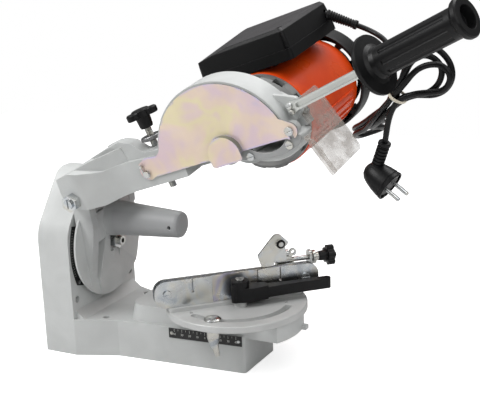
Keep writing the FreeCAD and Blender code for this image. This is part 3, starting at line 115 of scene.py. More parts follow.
def ranged(tree: bpy.types.NodeTree, value: bpy.types.NodeSocket, span: tuple[float, float] = (0.0, 1.0),
           target: tuple[float, float] = (0.0, 1.0)) -> bpy.types.NodeSocket:
    """Maps a value from one span to another, and holds it at the ends.

    Args:
        tree: the tree to build in.
        value: the value.
        span: the two values that reach the ends.
        target: the ends.

    Returns:
        The mapped value.
    """
    node = tree.nodes.new("ShaderNodeMapRange")
    node.inputs["From Min"].default_value, node.inputs["From Max"].default_value = span
    node.inputs["To Min"].default_value, node.inputs["To Max"].default_value = target
    tree.links.new(value, node.inputs["Value"])
    return node.outputs["Result"]


def computed(tree: bpy.types.NodeTree, operation: str, *values: bpy.types.NodeSocket | float,
             clamp: bool = False) -> bpy.types.NodeSocket:
    """Computes with sockets and fixed numbers.

    Args:
        tree: the tree to build in.
        operation: the math node's operation.
        values: its values, in order.
        clamp: True to keep the result from 0 to 1.

    Returns:
        The result.
    """
    node = tree.nodes.new("ShaderNodeMath")
    node.operation = operation
    node.use_clamp = clamp
    for place, value in zip(node.inputs, values):
        if isinstance(value, bpy.types.NodeSocket):
            tree.links.new(value, place)
        else:
            place.default_value = value
    return node.outputs["Value"]


def blended(tree: bpy.types.NodeTree, first: bpy.types.NodeSocket | Colour, second: Colour,
            factor: bpy.types.NodeSocket, blend: str = "MIX") -> bpy.types.NodeSocket:
    """Mixes two colours.

    Args:
        tree: the tree to build in.
        first: the colour at factor 0, fixed or from a socket.
        second: the colour at factor 1.
        factor: the share of the second.
        blend: how the second goes over the first.

    Returns:
        The mixed colour.
    """
    node = tree.nodes.new("ShaderNodeMix")
    node.data_type = "RGBA"
    node.blend_type = blend
    if isinstance(first, bpy.types.NodeSocket):
        tree.links.new(first, node.inputs["A"])
    else:
        node.inputs["A"].default_value = first
    node.inputs["B"].default_value = second
    tree.links.new(factor, node.inputs["Factor"])
    return node.outputs["Result"]


def grouped(tree: bpy.types.NodeTree, group: bpy.types.NodeTree, vector: bpy.types.NodeSocket,
            values: dict[str, float]) -> bpy.types.Node:
    """Adds a group's node with its vector linked and its values set."""
    node = tree.nodes.new("ShaderNodeGroup")
    node.node_tree = group
    tree.links.new(vector, node.inputs["Vector"])
    for name, value in values.items():
        node.inputs[name].default_value = value
    return node


class Group:
    """A shader node group under construction, with short calls for its sockets, nodes and links."""

    def __init__(self, name: str) -> None:
        """Starts an empty group."""
        self.tree = bpy.data.node_groups.new(name, "ShaderNodeTree")
        self.inputs = self.tree.nodes.new("NodeGroupInput")
        self.outputs = self.tree.nodes.new("NodeGroupOutput")

    def socket(self, name: str, kind: str, inward: bool, default: object = None) -> None:
        """Adds a socket.

        Args:
            name: the socket's name.
            kind: Float, Color or Vector.
            inward: True for an input.
            default: the value of an unlinked input.
        """
        made = self.tree.interface.new_socket(
            name, in_out="INPUT" if inward else "OUTPUT", socket_type="NodeSocket" + kind)
        if default is not None:
            made.default_value = default

    def node(self, kind: str, **settings: object) -> bpy.types.Node:
        """Adds a node with its properties set and returns it."""
        made = self.tree.nodes.new("ShaderNode" + kind)
        for key, value in settings.items():
            setattr(made, key, value)
        return made

    def link(self, start: bpy.types.NodeSocket, end: bpy.types.NodeSocket) -> None:
        """Joins two sockets."""
        self.tree.links.new(start, end)


def grain_group() -> bpy.types.NodeTree:
    """Builds the group of fine grain and broad mottling that every opaque finish uses.

    Returns:
        A group with a Tone from 0 to 1 for colour and roughness, and a Height for bump.
    """
    group = Group("grain_and_mottling")
    group.socket("Vector", "Vector", True)
    group.socket("Grain Scale", "Float", True, 900.0)
    group.socket("Mottle Scale", "Float", True, 22.0)
    group.socket("Tone", "Float", False)
    group.socket("Height", "Float", False)
    fine = group.node("TexNoise")
    fine.inputs["Detail"].default_value = 3.0
    broad = group.node("TexNoise")
    broad.inputs["Detail"].default_value = 5.0
    broad.inputs["Distortion"].default_value = 0.6
    for noise, scale in ((fine, "Grain Scale"), (broad, "Mottle Scale")):
        group.link(group.inputs.outputs["Vector"], noise.inputs["Vector"])
        group.link(group.inputs.outputs[scale], noise.inputs["Scale"])
    tone = ranged(group.tree, broad.outputs["Fac"], span=(0.32, 0.68))
    group.link(tone, group.outputs.inputs["Tone"])
    group.link(fine.outputs["Fac"], group.outputs.inputs["Height"])
    return group.tree


def worn_edge_group() -> bpy.types.NodeTree:
    """Builds the group that finds edges and breaks them up, for wear on the opaque finishes and for the painted
    highlight on the clear sheet's edges.

    Returns:
        A group with a Mask that is 1 on a worn edge.
    """
    group = Group("edge_wear_and_highlight")
    group.socket("Vector", "Vector", True)
    group.socket("Width", "Float", True, 0.0012)
    group.socket("Mask", "Float", False)
    geometry = group.node("NewGeometry")
    bevel = group.node("Bevel", samples=4)
    group.link(group.inputs.outputs["Width"], bevel.inputs["Radius"])
    flatness = group.node("VectorMath", operation="DOT_PRODUCT")
    group.link(bevel.outputs["Normal"], flatness.inputs[0])
    group.link(geometry.outputs["Normal"], flatness.inputs[1])
    edge = ranged(group.tree, flatness.outputs["Value"], span=(0.985, 0.90))
    noise = group.node("TexNoise")
    noise.inputs["Scale"].default_value = 60.0
    noise.inputs["Detail"].default_value = 6.0
    group.link(group.inputs.outputs["Vector"], noise.inputs["Vector"])
    broken = ranged(group.tree, noise.outputs["Fac"], span=(0.45, 0.62))
    group.link(computed(group.tree, "MULTIPLY", edge, broken), group.outputs.inputs["Mask"])
    return group.tree


GRAIN = grain_group()
EDGE_WEAR_AND_HIGHLIGHT = worn_edge_group()


@dataclass(frozen=True)
class Finish:
    """An opaque finish: colour with mottling, fine grain as bump, soft edges and a little wear."""

    name: str
    slot: str
    colour: Colour
    second: Colour
    roughness: tuple[float, float] = (0.4, 0.5)
    metallic: float = 0.0
    grain_scale: float = 900.0
    grain_height: float = 0.00002
    mottle_scale: float = 22.0
    soft_edge: float = 0.0006
    worn: Colour | None = None
    worn_width: float = 0.0012
    # A pale colour laid over faces that look up is a painted highlight, standing for the bright reflection on them.
    film: float = 0.0
    film_colour: Colour = srgb(176, 172, 176)
    film_slope: tuple[float, float] = (0.55, 0.9)
    specular: float = 0.5
    coat: float = 0.0
    coat_roughness: float = 0.08

    def material(self) -> bpy.types.Material:
        """Returns the finish's material, built the first time that it is asked for."""
        known = bpy.data.materials.get(self.name)
        return known if known else self.build()

    def build(self) -> bpy.types.Material:
        """Makes the node tree and returns the material."""
        material = bpy.data.materials.new(self.name)
        material.use_nodes = True
        tree = material.node_tree
        shader = tree.nodes["Principled BSDF"]
        shader.inputs["Metallic"].default_value = self.metallic
        shader.inputs["Specular IOR Level"].default_value = self.specular
        shader.inputs["Coat Weight"].default_value = self.coat
        shader.inputs["Coat Roughness"].default_value = self.coat_roughness
        place = tree.nodes.new("ShaderNodeTexCoord").outputs["Object"]
        grain = self.grain(tree, place)
        colour = self.filmed(tree, self.edged(tree, place, self.surface(tree, place, grain.outputs["Tone"])))
        tree.links.new(colour, shader.inputs["Base Color"])
        tree.links.new(ranged(tree, grain.outputs["Tone"], target=self.roughness), shader.inputs["Roughness"])
        bump = tree.nodes.new("ShaderNodeBump")
        bump.inputs["Distance"].default_value = self.grain_height
        tree.links.new(grain.outputs["Height"], bump.inputs["Height"])
        if self.soft_edge:
            bevel = tree.nodes.new("ShaderNodeBevel")
            bevel.samples = 4
            bevel.inputs["Radius"].default_value = self.soft_edge
            tree.links.new(bevel.outputs["Normal"], bump.inputs["Normal"])
        tree.links.new(bump.outputs["Normal"], shader.inputs["Normal"])
        return material

    def grain(self, tree: bpy.types.NodeTree, place: bpy.types.NodeSocket) -> bpy.types.Node:
        """Adds the grain group's node at the finish's scales."""
        return grouped(tree, GRAIN, place, {"Grain Scale": self.grain_scale, "Mottle Scale": self.mottle_scale})

    def surface(self, tree: bpy.types.NodeTree, place: bpy.types.NodeSocket,
                tone: bpy.types.NodeSocket) -> bpy.types.NodeSocket:
        """Builds the colour part of the tree.

        Args:
            tree: the material's tree.
            place: the object coordinates, for finishes that change from place to place.
            tone: the mottling, from 0 to 1.

        Returns:
            The surface colour.
        """
        return blended(tree, self.colour, self.second, tone)

    def edged(self, tree: bpy.types.NodeTree, place: bpy.types.NodeSocket,
              colour: bpy.types.NodeSocket) -> bpy.types.NodeSocket:
        """Lays the edge colour over the surface colour, where the finish has one."""
        if self.worn is None:
            return colour
        edge = grouped(tree, EDGE_WEAR_AND_HIGHLIGHT, place, {"Width": self.worn_width})
        return blended(tree, colour, self.worn, edge.outputs["Mask"])

    def filmed(self, tree: bpy.types.NodeTree, colour: bpy.types.NodeSocket) -> bpy.types.NodeSocket:
        """Lays a pale colour over faces that look up, where the finish has one: a painted highlight for the bright
        reflection on them.
        """
        if not self.film:
            return colour
        painted_highlight_share = ranged(tree, facing(tree, "Z"), span=self.film_slope, target=(0.0, self.film))
        return blended(tree, colour, self.film_colour, painted_highlight_share)


@dataclass(frozen=True)
class HandleCoat(Finish):
    """The casting's finish with a darker, duller coat on the tapered handle."""

    handle: Colour = (0.3, 0.3, 0.3, 1.0)
    front: tuple[float, float] = (-0.094, -0.072)
    top: tuple[float, float] = (0.19, 0.18)

    def surface(self, tree: bpy.types.NodeTree, place: bpy.types.NodeSocket,
                tone: bpy.types.NodeSocket) -> bpy.types.NodeSocket:
        """Takes the casting's colour behind the disc's face and above the handle, and the handle's elsewhere."""
        fades = [ranged(tree, component(tree, place, axis), span=span)
                 for axis, span in (("X", self.front), ("Z", self.top))]
        return blended(tree, super().surface(tree, place, tone), self.handle, computed(tree, "MULTIPLY", *fades))


@dataclass(frozen=True)
class Passivation(Finish):
    """Zinc passivated in thin clouds of several hues, with a darker grey of painted shade on the sides where it is
    pressed out.
    """

    hues: tuple[tuple[float, Colour], ...] = ()
    cloud_scale: float = 14.0
    warp: float = 1.6
    detail: float = 4.0
    # A darker grey on faces that turn from the sheet's outer side: painted shade on its pressed-out sides.
    flank: Colour | None = None
    flank_slope: tuple[float, float] = (-0.94, -0.72)

    def surface(self, tree: bpy.types.NodeTree, place: bpy.types.NodeSocket,
                tone: bpy.types.NodeSocket) -> bpy.types.NodeSocket:
        """Builds the clouds: a warped noise through a ramp of the hues, toned by the mottling, then lays a darker
        grey of painted shade on the pressed-out sides.
        """
        noise = tree.nodes.new("ShaderNodeTexNoise")
        noise.inputs["Scale"].default_value = self.cloud_scale
        noise.inputs["Detail"].default_value = self.detail
        noise.inputs["Roughness"].default_value = 0.55
        noise.inputs["Distortion"].default_value = self.warp
        tree.links.new(place, noise.inputs["Vector"])
        ramp = tree.nodes.new("ShaderNodeValToRGB")
        ramp.color_ramp.interpolation = "EASE"
        while len(ramp.color_ramp.elements) < len(self.hues):
            ramp.color_ramp.elements.new(0.5)
        for element, (position, hue) in zip(ramp.color_ramp.elements, self.hues):
            element.position = position
            element.color = hue
        tree.links.new(noise.outputs["Fac"], ramp.inputs["Fac"])
        clouds = blended(tree, ramp.outputs["Color"], self.second, tone, "MULTIPLY")
        if self.flank is None:
            return clouds
        # The sheet's outer side looks along -Y, so its pressed-out sides are the faces that turn away from there;
        # they get a darker grey as painted shade.
        return blended(tree, clouds, self.flank, ranged(tree, facing(tree, "Y"), span=self.flank_slope))


@dataclass(frozen=True)
class ClearSheet(Finish):
    """Clear plastic sheet, thin and smudged on the flat, paler and more opaque where seen aslant as a painted
    reflection, and painted white and opaque at its edges as a highlight.
    """

    smudge: tuple[float, float] = (0.1, 0.46)
    slant: float = 0.3
    edge_cover: float = 0.5
    refraction: float = 1.45

    def build(self) -> bpy.types.Material:
        """Makes the node tree and returns the material."""
        material = bpy.data.materials.new(self.name)
        material.use_nodes = True
        tree = material.node_tree
        shader = tree.nodes["Principled BSDF"]
        shader.inputs["IOR"].default_value = self.refraction
        place = tree.nodes.new("ShaderNodeTexCoord").outputs["Object"]
        tone = self.grain(tree, place).outputs["Tone"]
        tree.links.new(ranged(tree, tone, target=self.roughness), shader.inputs["Roughness"])
        slant = tree.nodes.new("ShaderNodeLayerWeight")
        slant.inputs["Blend"].default_value = self.slant
        edge = grouped(tree, EDGE_WEAR_AND_HIGHLIGHT, place, {"Width": self.worn_width}).outputs["Mask"]
        # Opacity rises where the sheet is seen aslant and at its edges: painted paleness standing for its reflection
        # and the light on its edges.
        aslant_and_edge_highlight = computed(tree, "MAXIMUM", slant.outputs["Facing"], edge)
        smudge = ranged(tree, tone, target=self.smudge)
        cover = computed(tree, "MULTIPLY_ADD", aslant_and_edge_highlight, self.edge_cover, smudge, clamp=True)
        tree.links.new(cover, shader.inputs["Alpha"])
        # The edges are blended to white: a painted highlight.
        tree.links.new(blended(tree, self.colour, self.second, edge), shader.inputs["Base Color"])
        return material


class Paint:
    """The finishes of the machine."""

    CASTING = Finish("grey_powder_coat", "grey_paint", srgb(196, 198, 197), srgb(186, 188, 187), (0.4, 0.52),
                     grain_scale=1500, grain_height=0.00006, soft_edge=0.0012, worn=srgb(214, 216, 214))
    HEAD = HandleCoat("grey_head_coat", "grey_paint", srgb(196, 198, 197), srgb(186, 188, 187), (0.42, 0.55),
                      grain_scale=1500, grain_height=0.00006, soft_edge=0.0012, worn=srgb(210, 212, 210),
                      handle=srgb(150, 151, 152))
    MACHINED = Finish("machined_casting", "grey_paint", srgb(196, 197, 196), srgb(184, 185, 184), (0.35, 0.5),
                      metallic=0.2, grain_scale=1400, grain_height=0.00003, soft_edge=0.0008)
    ORANGE = Finish("orange_gloss", "orange_paint", srgb(228, 78, 20), srgb(216, 66, 14), (0.26, 0.34),
                    grain_scale=500, grain_height=0.00003, specular=0.3, coat=0.06)
    MOTOR_GREY = Finish("motor_casting_grey", "motor_grey", srgb(142, 143, 142), srgb(126, 127, 126), (0.48, 0.6),
                        metallic=0.3, grain_scale=1100, grain_height=0.00008, soft_edge=0.001)
    BLACK = Finish("black_moulding", "black_plastic", srgb(15, 15, 16), srgb(11, 11, 12), (0.32, 0.42),
                   grain_scale=1800, grain_height=0.00004, soft_edge=0.001, specular=0.25)
    # The lid's upward faces are painted paler: a painted highlight.
    LID = Finish("black_lid", "black_plastic", srgb(17, 17, 18), srgb(13, 13, 14), (0.36, 0.46),
                 grain_scale=1800, grain_height=0.00005, soft_edge=0.0014, specular=0.25, film=0.1)
    LEVER = Finish("black_lever", "lever_black", srgb(15, 15, 17), srgb(11, 11, 12), (0.38, 0.5),
                   grain_scale=1400, grain_height=0.00005, soft_edge=0.001, specular=0.25)
    GRIP = Finish("black_grip", "grip_black", srgb(16, 16, 17), srgb(12, 12, 13), (0.34, 0.44),
                  grain_scale=1500, grain_height=0.00004, soft_edge=0.0008, specular=0.25)
    SHEATH = Finish("cord_sheath", "cord_rubber", srgb(17, 17, 18), srgb(13, 13, 14), (0.34, 0.42),
                    grain_scale=700, grain_height=0.00002, soft_edge=0.0, specular=0.25)
    SCALE = Finish("black_scale", "scale_black", srgb(20, 20, 20), srgb(28, 28, 28), (0.35, 0.45))
    MARKS = Finish("white_marks", "scale_black", srgb(206, 206, 202), srgb(190, 190, 186), (0.5, 0.6), soft_edge=0.0)
    ALUMINIUM = Finish("drawn_aluminium", "bare_aluminium", srgb(214, 216, 212), srgb(198, 200, 196), (0.32, 0.42),
                       metallic=0.7, grain_scale=800, grain_height=0.00001)
    STEEL = Finish("ground_steel", "ground_steel", srgb(178, 177, 172), srgb(160, 159, 154), (0.25, 0.38),
                   metallic=1.0, grain_height=0.00001)
    LAMINATION = Finish("varnished_laminations", "stator_steel", srgb(96, 92, 88), srgb(80, 76, 72), (0.4, 0.5),
                        metallic=0.7)
    TIE = Finish("cream_tie", "tie_cream", srgb(226, 218, 200), srgb(214, 205, 186), (0.45, 0.6), soft_edge=0.0)
    COVER = Passivation(
        "yellow_passivated_zinc", "zinc_yellow", srgb(214, 198, 176), srgb(240, 236, 238), (0.34, 0.44),
        metallic=0.35, grain_scale=500, grain_height=0.000006, soft_edge=0.0005, mottle_scale=9,
        worn=srgb(196, 192, 234), worn_width=0.004, cloud_scale=11.0, warp=0.35, detail=3.4,
        # The darker grey on the pressed-out sides is painted shade.
        flank=srgb(126, 128, 116),
        hues=((0.32, srgb(200, 193, 224)), (0.42, srgb(231, 210, 214)), (0.50, srgb(238, 219, 200)),
              (0.56, srgb(237, 226, 188)), (0.64, srgb(234, 214, 207)), (0.74, srgb(205, 197, 225))))
    PLATED = Passivation(
        "blue_zinc", "zinc", srgb(198, 200, 206), srgb(224, 224, 228), (0.24, 0.36), metallic=0.95,
        grain_scale=700, grain_height=0.000008, soft_edge=0.0006, cloud_scale=26,
        hues=((0.3, srgb(172, 180, 196)), (0.45, srgb(198, 202, 206)), (0.56, srgb(208, 202, 190)),
              (0.68, srgb(190, 186, 202))))
    ZINC = Passivation(
        "bright_zinc", "zinc", srgb(206, 206, 204), srgb(226, 226, 226), (0.2, 0.32), metallic=1.0,
        grain_scale=700, grain_height=0.000008, soft_edge=0.0005, cloud_scale=30,
        hues=((0.3, srgb(184, 190, 196)), (0.45, srgb(206, 208, 208)), (0.6, srgb(210, 208, 200)),
              (0.75, srgb(192, 192, 198))))
    DULL_ZINC = Finish("dull_zinc", "zinc", srgb(150, 150, 150), srgb(128, 128, 130), (0.3, 0.42), metallic=1.0,
                       grain_scale=900, grain_height=0.00002)
    BRACKET = Finish("mid_grey_plate", "grey_paint", srgb(160, 161, 161), srgb(150, 151, 151), (0.4, 0.5),
                     grain_scale=1200, grain_height=0.00003, soft_edge=0.0006, worn=srgb(206, 206, 204))
    # The white second colour is the painted highlight on the sheet's edges.
    CLEAR = ClearSheet("clear_sheet", "clear_plastic", srgb(178, 170, 162), (1, 1, 1, 1), (0.06, 0.3),
                       mottle_scale=55, worn_width=0.0009)


# --- mesh helpers -------------------------------------------------------------------------------------
def dress(finish: Finish, *nodes: str) -> None:
    """Gives the finish to carried-over nodes, which keep their shape."""
    for name in nodes:
        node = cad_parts[name]
        if not node.material_slots:
            node.data.materials.append(finish.material())
        for slot in node.material_slots:
            slot.material = finish.material()
        LOG.info("dressed %s with %s", name, finish.name)


def add_piece(name: str, mesh: bmesh.types.BMesh, place: Frame, body: str, finish: Finish,
              replaces: tuple[str, ...] = (), smooth: float = 40.0) -> bpy.types.Object:
    """Finishes a new piece.

    Args:
        name: the piece's name.
        mesh: its shape, in millimetres in the frame given by place.
        place: the frame that it was modelled in.
        body: the body that it rides on.
        finish: its finish.
        replaces: the nodes that it stands for.
        smooth: edges sharper than this many degrees stay sharp.

    Returns:
        The new object, at the origin, with its place in its mesh.
    """
    bmesh.ops.remove_doubles(mesh, verts=mesh.verts, dist=1e-4)
    bmesh.ops.transform(mesh, matrix=place.value, verts=mesh.verts)
    bmesh.ops.recalc_face_normals(mesh, faces=mesh.faces)
    for edge in mesh.edges:
        edge.smooth = len(edge.link_faces) == 2 and edge.calc_face_angle(0.0) < math.radians(smooth)
    for face in mesh.faces:
        face.smooth = True
    data = bpy.data.meshes.new(name)
    mesh.to_mesh(data)
    mesh.free()
    piece = bpy.data.objects.new(name, data)
    bpy.context.scene.collection.objects.link(piece)
    data.materials.append(finish.material())
    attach(piece, body)
    if replaces:
        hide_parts(*replaces)
    LOG.info("built %s on %s", name, body)
    return piece


def spun(profile: list[tuple[float, float]], start: Vector, axis: Vector, steps: int = 64) -> bmesh.types.BMesh:
    """Spins a profile of (distance along the axis, radius) pairs into a closed round piece."""
    mesh = bmesh.new()
    axis = axis.normalized()
    side = axis.orthogonal().normalized()
    verts = [mesh.verts.new(start + axis * along + side * radius) for along, radius in profile]
    edges = [mesh.edges.new(pair) for pair in zip(verts, verts[1:])]
    if profile[0][1] > 0 and profile[-1][1] > 0:
        edges.append(mesh.edges.new((verts[-1], verts[0])))
    bmesh.ops.spin(mesh, geom=verts + edges, cent=start, axis=axis, angle=math.tau, steps=steps, use_merge=True)
    bmesh.ops.remove_doubles(mesh, verts=mesh.verts, dist=1e-4)
    return mesh


def helix(start: Vector, axis: Vector, radius: float, pitch: float, turns: float,
          section: list[tuple[float, float]], steps: int = 24) -> bmesh.types.BMesh:
    """Sweeps a small section round an axis and along it.

    Args:
        start: where the axis starts.
        axis: its direction.
        radius: distance from the axis to the section's origin.
        pitch: advance in one turn.
        turns: how many turns.
        section: (outwards, along) pairs round the section.
        steps: steps in one turn.

    Returns:
        A closed mesh.
    """
    mesh = bmesh.new()
    axis = axis.normalized()
    side = axis.orthogonal().normalized()
    verts = [mesh.verts.new(start + side * (radius + out) + axis * along) for out, along in section]
    face = mesh.faces.new(verts)
    count = round(turns * steps)
    bmesh.ops.spin(mesh, geom=[face, *face.edges, *verts], cent=start, axis=axis, dvec=axis * (pitch / steps),
                   angle=math.tau * turns, steps=count)
    bmesh.ops.holes_fill(mesh, edges=[e for e in mesh.edges if e.is_boundary])
    return mesh


def merged(meshes: list[bmesh.types.BMesh]) -> bmesh.types.BMesh:
    """Puts several meshes into one."""
    whole = bmesh.new()
    for mesh in meshes:
        data = bpy.data.meshes.new("part")
        mesh.to_mesh(data)
        mesh.free()
        whole.from_mesh(data)
        bpy.data.meshes.remove(data)
    return whole


def bar(low: Vector, high: Vector) -> bmesh.types.BMesh:
    """A small bar between two corners, used for graduation marks."""
    mesh = bmesh.new()
    middle, size = (low + high) / 2, high - low
    matrix = Matrix.Translation(middle) @ Matrix.Diagonal((*size, 1))
    bmesh.ops.create_cube(mesh, size=1, matrix=matrix)
    return mesh


def words(text: str, height: float, matrix: Matrix) -> bmesh.types.BMesh:
    """A plain number as a thin raised mesh.

    Args:
        text: the number.
        height: cap height in millimetres.
        matrix: takes the number from the XY plane, centred on the origin, to its place.

    Returns:
        The number's mesh.
    """
    curve = bpy.data.curves.new("number", "FONT")
    curve.body = text
    curve.size = height * 1.4
    curve.align_x = "CENTER"
    curve.align_y = "CENTER"
    curve.extrude = 0.05
    curve.resolution_u = 3
    holder = bpy.data.objects.new("number", curve)
    bpy.context.scene.collection.objects.link(holder)
    data = bpy.data.meshes.new_from_object(holder)
    data.transform(matrix)
    mesh = bmesh.new()
    mesh.from_mesh(data)
    bpy.data.objects.remove(holder)
    bpy.data.meshes.remove(data)
    return mesh


# --- stage --------------------------------------------------------------------------------------------
@dataclass
class Studio:
    """Floor, soft light and the camera."""

    focal_length: float = 82.5
    sensor: float = 36.0
    elevation: float = math.radians(15.7276)
    azimuth: float = math.radians(28.0430)
    roll: float = math.radians(2.1799)
    aside: float = 83.6139
    above: float = 172.4355
    distance: float = 1405.5569
    horizon: float = 0.1
    zenith: float = 0.5
    floor_half: float = 1.3
    floor_base: float = 0.7
    floor_glow: float = 0.66
    aim: tuple[float, float, float] = (0.07, 0.0, 0.2)
    lamps: tuple[tuple[str, tuple[float, float, float], float, float], ...] = (
        ("key", (-1.0, -1.1, 1.6), 1.1, 29), ("fill", (1.4, -1.0, 1.3), 1.3, 11),
        ("rim", (0.25, 0.7, 1.9), 1.4, 22))

    def build(self) -> None:
        """Makes the floor, the lights, the world and the camera."""
        self.camera()
        self.floor()
        self.world()
        for name, place, size, power in self.lamps:
            self.lamp(name, Vector(place), size, power)

    def camera(self) -> None:
        """Places the camera from its angles and distance."""
        right = Vector((math.cos(self.azimuth), math.sin(self.azimuth), 0))
        level = Vector((-math.sin(self.azimuth), math.cos(self.azimuth), 0))
        up = level * math.sin(self.elevation) + Vector((0, 0, math.cos(self.elevation)))
        forward = level * math.cos(self.elevation) - Vector((0, 0, math.sin(self.elevation)))
        place = (right * self.aside + up * self.above - forward * self.distance) * MM
        across = right * math.cos(self.roll) - up * math.sin(self.roll)
        upright = right * math.sin(self.roll) + up * math.cos(self.roll)
        data = bpy.data.cameras.new("camera")
        data.lens = self.focal_length
        data.sensor_width = self.sensor
        data.clip_start = 0.05
        camera = bpy.data.objects.new("camera", data)
        bpy.context.scene.collection.objects.link(camera)
        turned = Matrix((across, upright, -forward)).transposed().to_4x4()
        camera.matrix_world = Matrix.Translation(place) @ turned
        bpy.context.scene.camera = camera

    def floor(self) -> None:
        """Makes a pale floor that keeps the shadow and shows nearly white."""
        mesh = bmesh.new()
        bmesh.ops.create_grid(mesh, x_segments=1, y_segments=1, size=self.floor_half)
        data = bpy.data.meshes.new("floor")
        mesh.to_mesh(data)
        mesh.free()
        floor = bpy.data.objects.new("floor", data)
        bpy.context.scene.collection.objects.link(floor)
        material = bpy.data.materials.new("floor_white")
        material.use_nodes = True
        tree = material.node_tree
        shader = tree.nodes["Principled BSDF"]
        shader.inputs["Base Color"].default_value = (*(self.floor_base,) * 3, 1)
        shader.inputs["Roughness"].default_value = 0.7
        shader.inputs["Emission Color"].default_value = (1, 1, 1, 1)
        seen = tree.nodes.new("ShaderNodeLightPath").outputs["Is Camera Ray"]
        tree.links.new(computed(tree, "MULTIPLY", seen, self.floor_glow), shader.inputs["Emission Strength"])
        data.materials.append(material)
        floor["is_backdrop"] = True

    def world(self) -> None:
        """Lights from above more than from the sides, and shows white behind the object and through its sheet."""
        world = bpy.data.worlds.new("studio")
        bpy.context.scene.world = world
        world.use_nodes = True
        tree = world.node_tree
        background = tree.nodes["Background"]
        background.inputs["Color"].default_value = (1, 1, 1, 1)
        height = component(tree, tree.nodes.new("ShaderNodeNewGeometry").outputs["Incoming"], "Z")
        dome = ranged(tree, height, span=(0.0, -0.9), target=(self.horizon, self.zenith))
        path = tree.nodes.new("ShaderNodeLightPath")
        seen = computed(tree, "MAXIMUM", path.outputs["Is Camera Ray"], path.outputs["Is Transmission Ray"])
        strength = tree.nodes.new("ShaderNodeMix")
        strength.inputs["B"].default_value = 1.0
        tree.links.new(seen, strength.inputs["Factor"])
        tree.links.new(dome, strength.inputs["A"])
        tree.links.new(strength.outputs["Result"], background.inputs["Strength"])

    def lamp(self, name: str, place: Vector, size: float, power: float) -> None:
        """Adds a square lamp that looks at the middle of the object."""
        data = bpy.data.lights.new(name, "AREA")
        data.size = size
        data.energy = power
        lamp = bpy.data.objects.new(name, data)
        bpy.context.scene.collection.objects.link(lamp)
        toward = Vector(self.aim) - place
        lamp.matrix_world = Matrix.Translation(place) @ toward.to_track_quat("-Z", "Y").to_matrix().to_4x4()


# --- sub-assemblies -----------------------------------------------------------------------------------
@dataclass
class Base:
    """The casting, its two scales and its bolts."""

    scale_middle: float = 63.5
    scale_step: float = 44.0 / 8.6
    steps_each_side: int = 8
    mark_top: float = 46.4
    number_middle: float = 39.4
    wall_point: tuple[float, float] = (-57.0, -52.0)
    wall_turn: float = math.atan2(12.5, 172.0)
    arc_centre: tuple[float, float] = (30.0, 130.0)
    arc_radius: float = 98.0
    arc_face: float = -108.35
    arc_middle: int = 181
    arc_span: tuple[int, int] = (161, 199)

    def build(self) -> None:
        """Dresses the nodes and draws the graduations."""
        dress(Paint.CASTING, "base_casting")
        dress(Paint.SCALE, "tilt_scale", "table_scale")
        dress(Paint.ZINC, "scale_screws", "tilt_bolt", "tilt_nut", "table_clamp_bolt", "table_clamp_nut")
        self.table_marks()
        self.tilt_marks()

    def on_wall(self, x: float, z: float, out: float = 1.05) -> Vector:
        """A point on the scale's face, from its place along X and its height."""
        along = (x - self.wall_point[0]) / math.cos(self.wall_turn)
        direction = Vector((math.cos(self.wall_turn), math.sin(self.wall_turn), 0))
        outward = Vector((math.sin(self.wall_turn), -math.cos(self.wall_turn), 0))
        return Vector((*self.wall_point, z)) + direction * along + outward * out

    def table_marks(self) -> None:
        """Draws the ticks and numbers of the straight scale."""
        turn = Matrix.Rotation(self.wall_turn, 4, "Z") @ Matrix.Rotation(math.pi / 2, 4, "X")
        marks = []
        for step in range(-self.steps_each_side, self.steps_each_side + 1):
            x = self.scale_middle + step * self.scale_step
            tall = 3.8 if step % 2 == 0 else 2.4
            tick = bar(Vector((-0.2, 0, 0)), Vector((0.2, tall, 0.08)))
            low = self.on_wall(x, self.mark_top - tall)
            bmesh.ops.transform(tick, matrix=Matrix.Translation(low) @ turn, verts=tick.verts)
            marks.append(tick)
            if step % 2 == 0:
                spot = Matrix.Translation(self.on_wall(x, self.number_middle))
                marks.append(words(str(abs(step) * 5), 2.7, spot @ turn))
        add_piece("table_scale_marks", merged(marks), Frame.BASE, "base", Paint.MARKS)

    def tilt_marks(self) -> None:
        """Draws the ticks and numbers of the curved scale beside the disc."""
        centre = Matrix.Translation((self.arc_face, *self.arc_centre))
        marks = []
        for degrees in range(*self.arc_span, 2):
            long_tick = (degrees - self.arc_middle) % 10 == 0
            reach = 4.4 if long_tick else 2.6
            tick = bar(Vector((0, -0.2, 0)), Vector((reach, 0.2, 0.08)))
            turn = Matrix.Rotation(math.radians(degrees), 4, "X") @ self.scale_stand()
            place = centre @ turn @ Matrix.Translation((self.arc_radius - reach - 1.0, 0, 0))
            bmesh.ops.transform(tick, matrix=place, verts=tick.verts)
            marks.append(tick)
            if long_tick:
                spot = (centre @ turn @ Matrix.Translation((self.arc_radius - 8.2, 0, 0))
                        @ Matrix.Rotation(-math.pi / 2, 4, "Z"))
                marks.append(words(str(abs(degrees - self.arc_middle)), 2.6, spot))
        add_piece("tilt_scale_marks", merged(marks), Frame.BASE, "base", Paint.MARKS)

    @staticmethod
    def scale_stand() -> Matrix:
        """Stands a flat drawing up in the YZ plane, facing +X, with its X axis along +Y."""
        return Matrix(((0, 0, 1, 0), (1, 0, 0, 0), (0, 1, 0, 0), (0, 0, 0, 1)))


